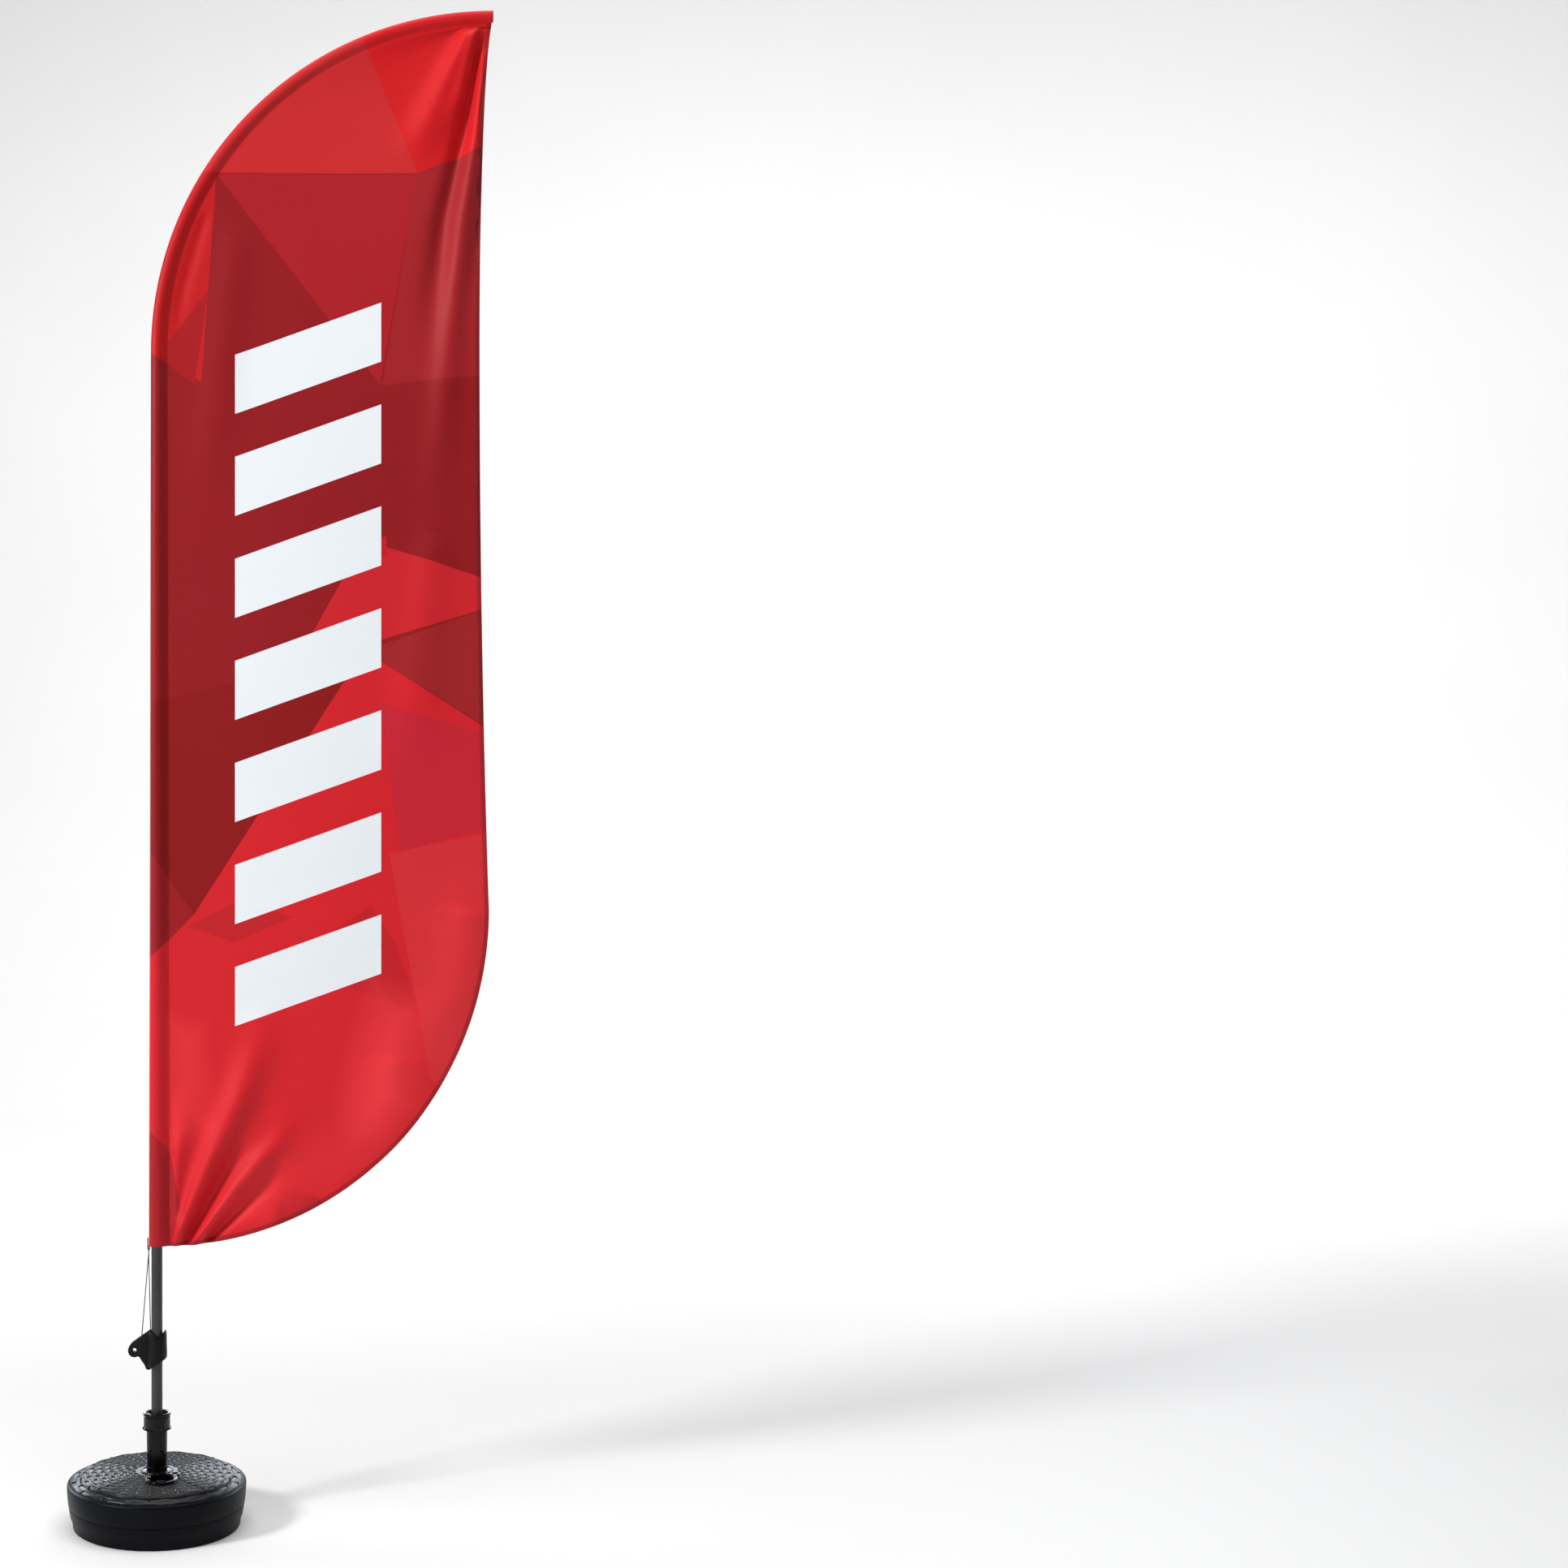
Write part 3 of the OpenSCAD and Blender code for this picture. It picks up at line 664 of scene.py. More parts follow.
# Stations of the tank's side, radius and height
FOOT_R = 210 * MM
FOOT_ROUND = 6 * MM
REBATE_H = 28 * MM
GROOVE_H = 56 * MM
SHOULDER_H = 104 * MM
SHOULDER_ROUND = 11 * MM
SKIRT_R, SKIRT_H = 191 * MM, 120.5 * MM
DISC_R, DISC_H = 187.5 * MM, 128.2 * MM
HUB_R = 52 * MM
LID_UNDER = 1.6 * MM

SPOKES = 32
STEPS_PER_SPOKE = 16
STEPS_PER_RING = 20
STRANDS = 4


def tank_side():
    """The tank's smooth side, underside and the skin that the weave stands on."""
    side = [(0, 0), (FOOT_R - FOOT_ROUND, 0)]
    side += arc(FOOT_R - FOOT_ROUND, FOOT_ROUND, FOOT_ROUND, -75, 0, 5)
    side += lathe_points(REBATE_H, [(212.8, -1), (213.4, -0.2), (215.6, 0.5), (216.4, 1.6)])
    side += lathe_points(GROOVE_H, [(220.7, -0.8), (220.6, 0), (219.5, 0.5), (219.4, 1.6),
                                    (220.9, 2.2), (221.5, 3.2), (223.6, 20), (224.7, 36)])
    side += arc(BASE_R - SHOULDER_ROUND, SHOULDER_H, SHOULDER_ROUND, 0, 76, 10)
    side += [(213 * MM, 114.2 * MM), (SKIRT_R - 1 * MM, SKIRT_H - LID_UNDER),
             (DISC_R - 2 * MM, DISC_H - LID_UNDER), (HUB_R, CROWN_H - LID_UNDER),
             (26 * MM, CROWN_H - LID_UNDER), (25.2 * MM, CROWN_H - 2.4 * MM),
             (25.2 * MM, 8 * MM), (0, 8 * MM)]
    obj = settle(turned("tank_shell", side, steps=256), 40)
    return finish_piece(obj, TANK_SIDE, "base", "tank_black", "base_tank")


def slat_height(v, angle, radius, ring, seed):
    """Height of the woven relief in millimetres at a place across a ring, 0 to 1, and round it."""
    spoke = 2 * math.pi / SPOKES
    wave = 0.5 + 0.5 * np.cos(math.pi * (angle / spoke + ring))
    half = 0.37 + 0.115 * np.sqrt(wave)
    x = (v - 0.5) / half
    inside = np.clip(1 - x * x, 0, 1)
    slat_number = np.floor((angle / spoke + ring + 1) / 2) % (SPOKES // 2)
    uneven = np.sin(slat_number * 12.9 + ring * 78.2 + seed)
    body = inside ** 0.42 * (1.0 + 1.9 * wave + 0.25 * uneven)
    strand = np.abs(np.sin(math.pi * (x * STRANDS / 2 + (STRANDS % 2) / 2)))
    body += 0.62 * (strand - 1) * inside ** 0.3
    nearest = np.rint(angle / spoke)
    shown = (nearest.astype(int) + ring) % 2 == 1
    scale = np.clip(radius / 0.11, 0.5, 1)
    off = np.abs(angle - nearest * spoke) * radius / MM / scale
    twin = np.clip(1 - ((off - 1.25) / 1.15) ** 2, 0, 1) ** 0.5
    ends = np.clip(np.minimum(v, 1 - v) / 0.14, 0, 1) ** 0.5
    stake = np.where(shown & (off < 2.4), (1.5 + 0.95 * twin) * ends * (0.55 + 0.45 * scale), 0)
    return np.maximum(np.maximum(body, 0), stake)


def weave(name, rings, first, seed):
    """A woven skin over rings given as (outer radius, height, inner radius, height) in metres."""
    columns = SPOKES * STEPS_PER_SPOKE
    rows = len(rings) * STEPS_PER_RING
    table = np.array(rings)
    spoke = 2 * math.pi / SPOKES

    def place(u, v):
        column = np.rint(u * columns)
        row = np.rint(v * rows)
        ring = np.clip((row - 0.5) // STEPS_PER_RING, 0, len(rings) - 1).astype(int)
        local = (row - ring * STEPS_PER_RING) / STEPS_PER_RING
        r_out, z_out, r_in, z_in = table[ring].T
        radius = r_out + (r_in - r_out) * local
        height = z_out + (z_in - z_out) * local
        step = column / STEPS_PER_SPOKE
        index = np.floor(step)
        side = 2 * (step - index)
        near = np.where(side > 1, 2 - side, side)
        zone = np.clip(2.9 * MM * np.clip(radius / 0.11, 0.5, 1) / (radius * spoke), 0.05, 0.3)
        off = np.where(near < 0.6, zone * near / 0.6,
                       zone + (0.5 - zone) * (near - 0.6) / 0.4)
        turn = np.where(side > 1, index + 1 - off, index + off) * spoke
        tall = slat_height(local, turn, radius, ring + first, seed) * MM
        slope = np.hypot(r_out - r_in, z_in - z_out)
        out, up = (z_in - z_out) / slope, (r_out - r_in) / slope
        radius = radius + tall * out
        bearing = turn - math.pi / 2
        return np.stack([radius * np.cos(bearing), radius * np.sin(bearing),
                         height + tall * up], axis=1)

    obj = cloth_grid(name, columns, rows, place)
    join_seams(obj, 0.00001)
    bpy.ops.mesh.extrude_edges_move(TRANSFORM_OT_translate={"value": (0, 0, -9 * MM)})
    bpy.ops.mesh.bridge_edge_loops()
    settle(obj, 60)
    return finish_piece(obj, TANK_LID, "base", "tank_black")


def woven_lid():
    """The lid's relief: two rings on the skirt, one on the step, twelve on the disc."""
    middle_r = (213.5 * MM + SKIRT_R) / 2
    skirt = [(213.5 * MM, 114.9 * MM, middle_r, 117.9 * MM),
             (middle_r, 117.9 * MM, SKIRT_R, SKIRT_H),
             (SKIRT_R, SKIRT_H, DISC_R, DISC_H)]
    weave("lid_skirt_weave", skirt, 0, 1.0)
    disc = []
    for i in range(12):
        edges = [DISC_R + (HUB_R - DISC_R) * k / 12 for k in (i, i + 1)]
        heights = [DISC_H + (CROWN_H - DISC_H) * k / 12 for k in (i, i + 1)]
        disc.append((edges[0], heights[0], edges[1], heights[1]))
    weave("lid_outer_weave", disc[:6], 3, 2.0)
    return weave("lid_inner_weave", disc[6:], 9, 3.0)


def open_filler(*pieces):
    """Cut the filler's round opening through the pieces that cover it."""
    deselect()
    bpy.ops.mesh.primitive_cylinder_add(
        vertices=96, radius=34.6 * MM, depth=50 * MM, location=(SEAL_X, SEAL_Y, CROWN_H))
    cutter = name_new("filler_cutter")
    bpy.ops.object.transform_apply(location=True)
    for piece in pieces:
        apply_modifier(piece, "BOOLEAN", operation="DIFFERENCE", object=cutter)
    bpy.data.objects.remove(cutter)


def filler_neck():
    """The raised neck of the filler that the cap's seal sits on."""
    profile = lathe_points(CROWN_H, [(33.5, -9), (33.5, -0.3), (33.8, 0), (38, 0), (38.6, -0.6),
                                     (39.2, -9), (33.5, -9)])
    obj = settle(turned("filler_neck", profile, centre=(SEAL_X, SEAL_Y), steps=96), 40)
    return finish_piece(obj, TANK_LID, "base", "tank_black")


def hub_plate():
    """The smooth crown round the stem."""
    profile = lathe_points(CROWN_H, [(40, -2), (40.2, 0.2), (41, 0.6), (47.6, 0.7), (49, 0.5),
                                     (52.6, 0.4), (53.2, -0.4), (53.2, -3), (40, -3), (40, -2)])
    obj = turned("hub_plate", profile, steps=192)
    settle(obj, 30)
    return finish_piece(obj, TANK_LID, "base", "tank_black")


# ---------------- stem, ring and clamp

def stem_ring():
    """The ring that locks the stem down, with four notches in its crest."""
    low = CROWN_H + 0.4 * MM
    profile = lathe_points(low, [(36.8, 0), (40.4, 0), (40.9, 0.6), (40.8, 1.8), (40, 3),
                                 (38.9, 3.6), (36.6, 3.6), (35.4, 3.1), (34.7, 2.2), (34.7, 1.4),
                                 (36.8, 1.2), (36.8, 0)])
    obj = turned("stem_ring_visual", profile, steps=160)

    def in_notch(c):
        turn = math.degrees(math.atan2(c.y, c.x)) % 90
        return abs(turn - 45) < 3.4 and c.z > low + 2.4 * MM

    select_vertices(obj, in_notch)
    bpy.ops.transform.translate(value=(0, 0, -1.5 * MM))
    settle(obj, 30)
    return finish_piece(obj, TANK_LID, "base", "tank_black", "stem_ring")


def stem():
    """The clamp stem: a flange, a slightly flared tube and flats low on its sides."""
    flange = CROWN_H + 2 * MM
    under_collar = COLLAR_LOW[2] - 4 * MM
    top = STEM_HIGH[2]
    profile = [(0, STEM_LOW[2]), (24.6 * MM, STEM_LOW[2]), (24.8 * MM, CROWN_H - 1 * MM),
               (36.4 * MM, CROWN_H), (36.4 * MM, flange - 0.4 * MM), (36 * MM, flange),
               (27 * MM, flange + 0.2 * MM), (25.7 * MM, flange + 0.7 * MM),
               (25.2 * MM, flange + 2 * MM)]
    count = 72
    for i in range(1, count + 1):
        share = i / count
        profile.append(((25.2 + 0.8 * share) * MM,
                        flange + 2 * MM + (under_collar - flange - 2 * MM) * share))
    profile += [(26 * MM, top - 1 * MM), (25.3 * MM, top), (20.4 * MM, top),
                (20 * MM, top - 0.6 * MM), (20 * MM, 66 * MM), (14.4 * MM, 60 * MM),
                (14.4 * MM, 17 * MM), (0, 17 * MM)]
    obj = turned("stem_visual", profile, steps=144)
    flats_top = flange + 44 * MM
    for vertex in obj.data.vertices:
        radius = math.hypot(vertex.co.x, vertex.co.y)
        if radius < 25 * MM or vertex.co.z < flange + 3 * MM:
            continue
        side = abs(vertex.co.x) / radius
        edge = flats_top - 16 * MM * smoothstep(0.45, 0.95, side)
        depth = 0.7 * MM * float(smoothstep(0.4, 0.55, side))
        depth *= 1 - float(smoothstep(edge, edge + 4 * MM, vertex.co.z))
        vertex.co.x *= (radius - depth) / radius
        vertex.co.y *= (radius - depth) / radius
    settle(obj, 32)
    return finish_piece(obj, GLOSS_BLACK, "base", "gloss_black", "stem_tube")


def clamp_collar():
    """The screwed collar: flange, smooth wall with four knurled panels, and a lip."""
    low, high = COLLAR_LOW[2], COLLAR_HIGH[2]
    body, pad_top = 33.4 * MM, low + 28.5 * MM
    profile = lathe_points(low, [(26.6, 0.5), (27, 0), (36.4, 0)])
    profile += arc(36.3 * MM, low + 0.9 * MM, 0.7 * MM, -60, 60, 4)
    profile += [(34.6 * MM, low + 2.2 * MM), (body, low + 3.4 * MM), (body, low + 8 * MM),
                (body, low + 14 * MM), (body, low + 20 * MM), (body, pad_top),
                (body, high - 8 * MM), (32.6 * MM, high - 7.2 * MM), (32.6 * MM, high - 6.4 * MM),
                (34.4 * MM, high - 5.6 * MM)]
    profile += arc(34.2 * MM, high - 1.6 * MM, 1.2 * MM, 0, 80, 4)
    profile += [(28 * MM, high), (27.3 * MM, high - 0.5 * MM), (24.5 * MM, high - 13 * MM),
                (24.5 * MM, high - 16 * MM), (26.6 * MM, high - 16.2 * MM),
                (26.6 * MM, low + 0.5 * MM)]
    obj = turned("clamp_collar_visual", profile, steps=144)

    settle(obj, 32)
    finish_piece(obj, GLOSS_BLACK, "collar", "gloss_black", "clamp_collar")
    obj.data.materials.append(KNURLED_BLACK)
    for face in obj.data.polygons:
        c = face.center
        turn = math.degrees(math.atan2(c.y, c.x)) % 90
        on_wall = (33 * MM < math.hypot(c.x, c.y) < 34 * MM
                   and low + 3.6 * MM < c.z < pad_top)
        if on_wall and 37 < turn < 80:
            face.material_index = 1
    return obj


def filler_cap():
    """The cup-shaped filler plug with its rolled rim, and the pull tab with a hole."""
    low, rim = CAP_LOW[2], CROWN_H + 1.5 * MM
    profile = [(0, low), (31.6 * MM, low), (32.8 * MM, low + 1 * MM), (33 * MM, rim),
               (40 * MM, rim), (40.8 * MM, rim + 0.8 * MM), (41 * MM, rim + 2 * MM)]
    profile += arc(38 * MM, rim + 2.4 * MM, 3 * MM, 0, 90, 6)
    profile += [(36.4 * MM, rim + 5.2 * MM), (35.4 * MM, rim + 3.9 * MM),
                (34 * MM, rim + 3.8 * MM), (33 * MM, rim + 4.6 * MM), (31.8 * MM, rim + 4.4 * MM),
                (31 * MM, rim + 3.4 * MM), (30.8 * MM, low + 3.4 * MM), (29.6 * MM, low + 2.2 * MM),
                (24 * MM, low + 2 * MM), (23.4 * MM, low + 2.6 * MM), (22.2 * MM, low + 2.6 * MM),
                (21.6 * MM, low + 2 * MM), (0, low + 2 * MM)]
    cup = turned("filler_cap_visual", profile, centre=(SEAL_X, SEAL_Y), steps=144)
    settle(cup, 32)
    tab_turn = math.radians(53)
    reach = 50 * MM
    tab_x = SEAL_X + reach * math.cos(tab_turn)
    tab_y = SEAL_Y + reach * math.sin(tab_turn)
    tab_z = rim + 1.2 * MM
    ring = lathe_points(tab_z, [(8.4, 0), (13, 0), (13.5, 0.6), (13.3, 2.6), (12.2, 3.4),
                                (9.6, 3.4), (8.5, 2.6), (8.4, 0)])
    loop = settle(turned("cap_tab_loop", ring, centre=(tab_x, tab_y), steps=64), 32)
    deselect()
    bpy.ops.mesh.primitive_cube_add(size=1, location=(0, 0, 0))
    neck = name_new("cap_tab_neck")
    for vertex in neck.data.vertices:
        far = vertex.co.x > 0
        along = 42.6 * MM if far else 37 * MM
        half = (8.5 if far else 11.5) * MM
        wide = half if vertex.co.y > 0 else -half
        tall = tab_z + 0.3 * MM if vertex.co.z < 0 else tab_z + 2.8 * MM
        vertex.co = (SEAL_X + along * math.cos(tab_turn) - wide * math.sin(tab_turn),
                     SEAL_Y + along * math.sin(tab_turn) + wide * math.cos(tab_turn), tall)
    edit(neck)
    bpy.ops.mesh.bevel(offset=0.5 * MM, segments=2, affect="EDGES")
    settle(neck, 32)
    obj = joined("filler_cap_visual", [cup, loop, neck])
    return finish_piece(obj, GLOSS_BLACK, "cap", "tank_black", "filler_cap")


# ---------------- flag

def edge_x(z):
    """Reach of the free edge above the rounded corner, at a height in metres."""
    z = np.asarray(z, dtype=float)
    below = np.clip((WAIST_H - z) / (WAIST_H - CORNER_H), 0, 1)
    above = np.clip((z - WAIST_H) / (BOW_START_H + BOW_R - 0.015 - WAIST_H), 0, 1)
    return (WAIST_X + (CORNER_X - WAIST_X) * below ** 2
            + (22 * above ** 2 + 8.6 * above ** 10) * MM)


def corner_point(angle, inset=0.0):
    """A point of the rounded lower corner, at an angle below the horizontal in radians."""
    return (CORNER_MID_X + (CORNER_X - CORNER_MID_X - inset) * np.cos(angle),
            CORNER_H - (CORNER_H - FLAG_FOOT_H - inset) * np.sin(angle))


def sleeve_size(turn):
    """The sleeve's three measures at an angle along the bow, in radians."""
    share = np.asarray(turn)[..., None] / (math.pi / 2)
    return SLEEVE_BOW + (SLEEVE_TIP - SLEEVE_BOW) * share


# Folds pulled from the tip and from the foot of the flag: line of (x, z) in millimetres,
# height towards the front, half width at the start and at the end.
FOLDS = [
    ([(790, 3772), (700, 3570), (625, 3400)], 20, 18, 56),
    ([(808, 3779), (764, 3600), (706, 3460)], 12, 9, 32),
    ([(811, 3740), (768, 3500), (722, 3288), (676, 2900)], -20, 10, 36),
    ([(824, 3700), (806, 3497), (770, 3288), (742, 3043), (690, 2450)], 15, 10, 48),
    ([(830, 3640), (812, 3400), (795, 3000)], -10, 6, 22),
    ([(38, 730), (44, 880), (84, 1130)], 12, 10, 40),
    ([(44, 708), (132, 915), (212, 1085), (300, 1330)], 26, 12, 56),
    ([(66, 706), (158, 862), (250, 1000)], -13, 8, 30),
    ([(92, 706), (200, 850), (300, 960), (370, 1060)], 19, 9, 38),
    ([(122, 710), (240, 822), (345, 920)], -14, 8, 34),
    ([(596, 1180), (596, 1000), (560, 900)], 12, 70, 80),
    ([(790, 1560), (770, 1350), (690, 1160)], 14, 60, 80),
    ([(700, 2500), (660, 2100), (610, 1800)], 8, 45, 70),
    ([(200, 3250), (160, 2900), (120, 2500)], 6, 40, 60),
    ([(120, 3300), (60, 3100), (34, 2950)], -5, 14, 24),
]


def fold_depth(x, z):
    """How far the cloth stands off its plane, towards the back, at a place on the flat cloth."""
    x, z = np.asarray(x, dtype=float) / MM, np.asarray(z, dtype=float) / MM
    total = np.zeros_like(x)
    for line, height, start_w, end_w in FOLDS:
        points = np.array(line, dtype=float)
        lengths = np.hypot(*np.diff(points, axis=0).T)
        whole = lengths.sum()
        best = np.zeros_like(x)
        before = 0.0
        for a, b, length in zip(points, points[1:], lengths):
            along = ((x - a[0]) * (b[0] - a[0]) + (z - a[1]) * (b[1] - a[1])) / length ** 2
            along = np.clip(along, 0, 1)
            gap = np.hypot(x - a[0] - along * (b[0] - a[0]), z - a[1] - along * (b[1] - a[1]))
            share = (before + along * length) / whole
            width = start_w + (end_w - start_w) * share
            strength = smoothstep(0, 0.12, share + 0.05) * (1 - smoothstep(0.55, 1, share))
            best = np.maximum(best, strength * np.exp(-(gap / width) ** 2))
            before += length
        total += height * best
    seam_x = np.where(z < 2953, 30, 845 - np.sqrt(np.clip(819 ** 2 - (z - 2953) ** 2, 0, None)))
    across = np.clip((x - seam_x) / np.maximum(820 - seam_x, 60), 0, 1)
    billow = 9 * np.sin(math.pi * across) ** 1.3 * np.cos((z - 1900) / 620)
    return -(total * smoothstep(0, 24, x - seam_x) + billow) * MM


def panel_rows():
    """Heights of the panel's rows and the left and right end of each."""
    angle = np.linspace(math.radians(89.4), 0, 90)
    low_x, low_z = corner_point(angle, HEM_W * 0.4)
    middle_z = np.linspace(CORNER_H, BOW_START_H, 186)[1:]
    turn = np.linspace(0, math.radians(88.6), 128)[1:]
    top_r = BOW_R - sleeve_size(turn)[:, 1]
    top_z = BOW_START_H + top_r * np.sin(turn)
    z = np.concatenate([low_z, middle_z, top_z])
    share = (z - FLAG_FOOT_H) / (BOW_START_H - FLAG_FOOT_H)
    seam = SLEEVE_FOOT[1] + (SLEEVE_BOW[1] - SLEEVE_FOOT[1]) * share
    seam[len(z) - len(turn):] = BOW_R - top_r * np.cos(turn)
    right = np.concatenate([low_x, edge_x(middle_z) - HEM_W * 0.4, edge_x(top_z) - HEM_W * 0.4])
    return z, seam - 1.5 * MM, np.maximum(right, seam)


def flag_panel():
    """The printed cloth, tucked into the sleeve's seam and pulled into folds."""
    z_rows, left, right = panel_rows()
    rows = len(z_rows) - 1

    def place(u, v):
        row = np.rint(v * rows).astype(int)
        x = left[row] + (right[row] - left[row]) * u
        z = z_rows[row]
        return np.stack([x, fold_depth(x, z), z], axis=1)

    obj = cloth_grid("flag_cloth", 92, rows, place)
    apply_modifier(obj, "SOLIDIFY", thickness=0.5 * MM, offset=0.0)
    settle(obj, 70)
    finish_piece(obj, PANEL_CLOTH, "mast", "flag_cloth", "flag_panel")
    return obj


def free_edge(count):
    """Points of the free edge from the foot round the corner to the tip, evenly spaced."""
    angle = np.linspace(math.radians(89.4), 0, 200)
    low_x, low_z = corner_point(angle)
    high_z = np.linspace(CORNER_H, BOW_START_H + BOW_R - 0.016, 200)[1:]
    x = np.concatenate([low_x, edge_x(high_z)])
    z = np.concatenate([low_z, high_z])
    run = np.concatenate([[0], np.cumsum(np.hypot(np.diff(x), np.diff(z)))])
    even = np.linspace(0, run[-1], count)
    x, z = np.interp(even, run, x), np.interp(even, run, z)
    tx, tz = np.gradient(x), np.gradient(z)
    size = np.hypot(tx, tz)
    return x, z, -tz / size, tx / size


def hem_band():
    """The folded hem: a flat band round the free edge, thicker at its fold."""
    steps = 620
    x, z, nx, nz = free_edge(steps + 1)
    section = [(0, 0), (0.4, 0.75), (2, 0.95), (6, 0.85), (10.5, 0.8), (12, 0.45),
               (12, -0.45), (10.5, -0.8), (6, -0.85), (2, -0.95), (0.4, -0.75), (0, 0)]
    inward = np.array([p[0] for p in section]) * MM
    depth = np.array([p[1] for p in section]) * MM

    def place(u, v):
        i = np.rint(v * steps).astype(int)
        j = np.rint(u * (len(section) - 1)).astype(int)
        px = x[i] + nx[i] * inward[j]
        pz = z[i] + nz[i] * inward[j]
        pucker = 0.35 * MM * np.sin(v * 4100) * (inward[j] > 5 * MM)
        return np.stack([px, fold_depth(px, pz) + depth[j] + pucker, pz], axis=1)

    obj = cloth_grid("free_edge_hem", len(section) - 1, steps, place)
    join_seams(obj, 0.00002)
    bpy.ops.mesh.fill()
    settle(obj, 50)
    return finish_piece(obj, HEM_CLOTH, "mast", "hem_cloth", "edge_hem")


def teardrop(size, count=36):
    """The sleeve's section: (inward, sideways) points, round the mast and flat to the seam."""
    a, b, h = size
    points = []
    for k in range(count + 1):
        p = 2 * math.pi * k / count
        if math.cos(p) > 0.5:
            side = 1 if p < math.pi else -1
            share = (math.cos(p) - 0.5) * 2
            share = share ** 0.75
            points.append((a / 2 + (b - a / 2) * share,
                           side * 0.866 * h * (1 - share) ** 1.15 + side * 0.7 * MM * share))
        else:
            points.append((a * math.cos(p), h * math.sin(p)))
    return np.array(points)


def sleeve_station(share):
    """Place, inward direction and size of the sleeve at a share of its length."""
    straight = BOW_START_H - FLAG_FOOT_H
    run = share * (straight + BOW_R * math.pi / 2)
    if run <= straight:
        part = run / straight
        return (0, FLAG_FOOT_H + run), (1, 0), SLEEVE_FOOT + (SLEEVE_BOW - SLEEVE_FOOT) * part
    turn = (run - straight) / BOW_R
    place = (BOW_R - BOW_R * math.cos(turn), BOW_START_H + BOW_R * math.sin(turn))
    return place, (math.cos(turn), -math.sin(turn)), sleeve_size(turn)


def flag_sleeve():
    """The pole pocket, a tube of cloth with small puckers beside its seam."""
    along, around = 520, 36
    table = np.empty((along + 1, around + 1, 3))
    for i in range(along + 1):
        (px, pz), (ix, iz), size = sleeve_station(i / along)
        section = teardrop(size, around)
        pucker = 0.5 * MM * math.sin(i * 1.7) + 0.35 * MM * math.sin(i * 0.61 + 1)
        for k, (inward, side) in enumerate(section):
            near_seam = float(smoothstep(0.2, 0.9, inward / size[1]))
            side += math.copysign(pucker, side) * near_seam * (1 - near_seam) * 3
            table[i, k] = (px + ix * inward, side, pz + iz * inward)
    obj = grid_of("pole_pocket", table)
    edit(obj)
    bpy.ops.mesh.remove_doubles(threshold=0.00002)
    bpy.ops.mesh.normals_make_consistent(inside=False)
    apply_modifier(obj, "SOLIDIFY", thickness=0.5 * MM, offset=-1.0)
    settle(obj, 50)
    return finish_piece(obj, SLEEVE_CLOTH, "mast", "sleeve_cloth", "flag_sleeve", "sleeve_cuff")


def stitches(name, places, directions, sides, length=3.2, thick=0.42):
    """A row of thread stitches, each a small bar lying on the cloth. All sizes in millimetres."""
    deselect()
    bpy.ops.mesh.primitive_cylinder_add(vertices=6, radius=thick * MM, depth=length * MM)
    one = name_new(name + "_one")
    edit(one)
    bpy.ops.mesh.bevel(offset=0.2 * MM, segments=1, affect="EDGES")
    bpy.ops.object.mode_set(mode="OBJECT")
    base = np.array([v.co for v in one.data.vertices])
    faces = [list(f.vertices) for f in one.data.polygons]
    bpy.data.objects.remove(one)
    verts, polygons = [], []
    for place, run, side in zip(places, directions, sides):
        run = np.array(run) / np.linalg.norm(run)
        side = np.array(side) / np.linalg.norm(side)
        third = np.cross(side, run)
        first = len(verts)
        turned_base = np.outer(base[:, 0], side) * 0.6 + np.outer(base[:, 1], third)
        turned_base += np.outer(base[:, 2], run)
        verts.extend(place + turned_base)
        polygons.extend([[first + i for i in face] for face in faces])
    mesh = bpy.data.meshes.new(name)
    mesh.from_pydata([tuple(v) for v in verts], [], polygons)
    obj = bpy.data.objects.new(name, mesh)
    bpy.context.collection.objects.link(obj)
    settle(obj, 60)
    return finish_piece(obj, THREAD, "mast", "hem_cloth")


def sewing():
    """Stitch rows along the hem and along the sleeve's seam, on both faces."""
    count = 760
    x, z, nx, nz = free_edge(count)
    places, runs, sides = [], [], []
    for i in range(2, count - 6):
        px, pz = x[i] + nx[i] * 9.5 * MM, z[i] + nz[i] * 9.5 * MM
        y = float(fold_depth(px, pz))
        for face in (1, -1):
            places.append(np.array([px, y + face * 0.95 * MM, pz]))
            runs.append((nz[i], 0, -nx[i]))
            sides.append((0, face, 0))
    hem_rows = stitches("hem_stitching", places, runs, sides)
    places, runs, sides = [], [], []
    count = 820
    for i in range(2, count - 4):
        (px, pz), (ix, iz), size = sleeve_station(i / count)
        for face in (1, -1):
            inward = size[1] - 3.5 * MM
            places.append(np.array([px + ix * inward, face * 1.75 * MM, pz + iz * inward]))
            runs.append((iz, 0, -ix))
            sides.append((0, face, 0))
    stitches("seam_stitching", places, runs, sides)
    return hem_rows


def tip_patch():
    """The sewn end of the sleeve over the mast's tip."""
    section = teardrop(SLEEVE_TIP, 36)
    top_z = BOW_START_H + BOW_R
    table = np.empty((4, 37, 3))
    for i, (out, grow) in enumerate(((0.4, 1.02), (1.6, 1.0), (2.3, 0.9), (2.5, 0.02))):
        for k, (inward, side) in enumerate(section):
            table[i, k] = (BOW_R + out * MM, side * grow, top_z - inward * grow)
    obj = grid_of("tip_patch", table)
    join_seams(obj, 0.0001)
    bpy.ops.mesh.fill()
    settle(obj, 50)
    return finish_piece(obj, HEM_CLOTH, "mast", "sleeve_cloth", "tip_pocket")


# ---------------- clip

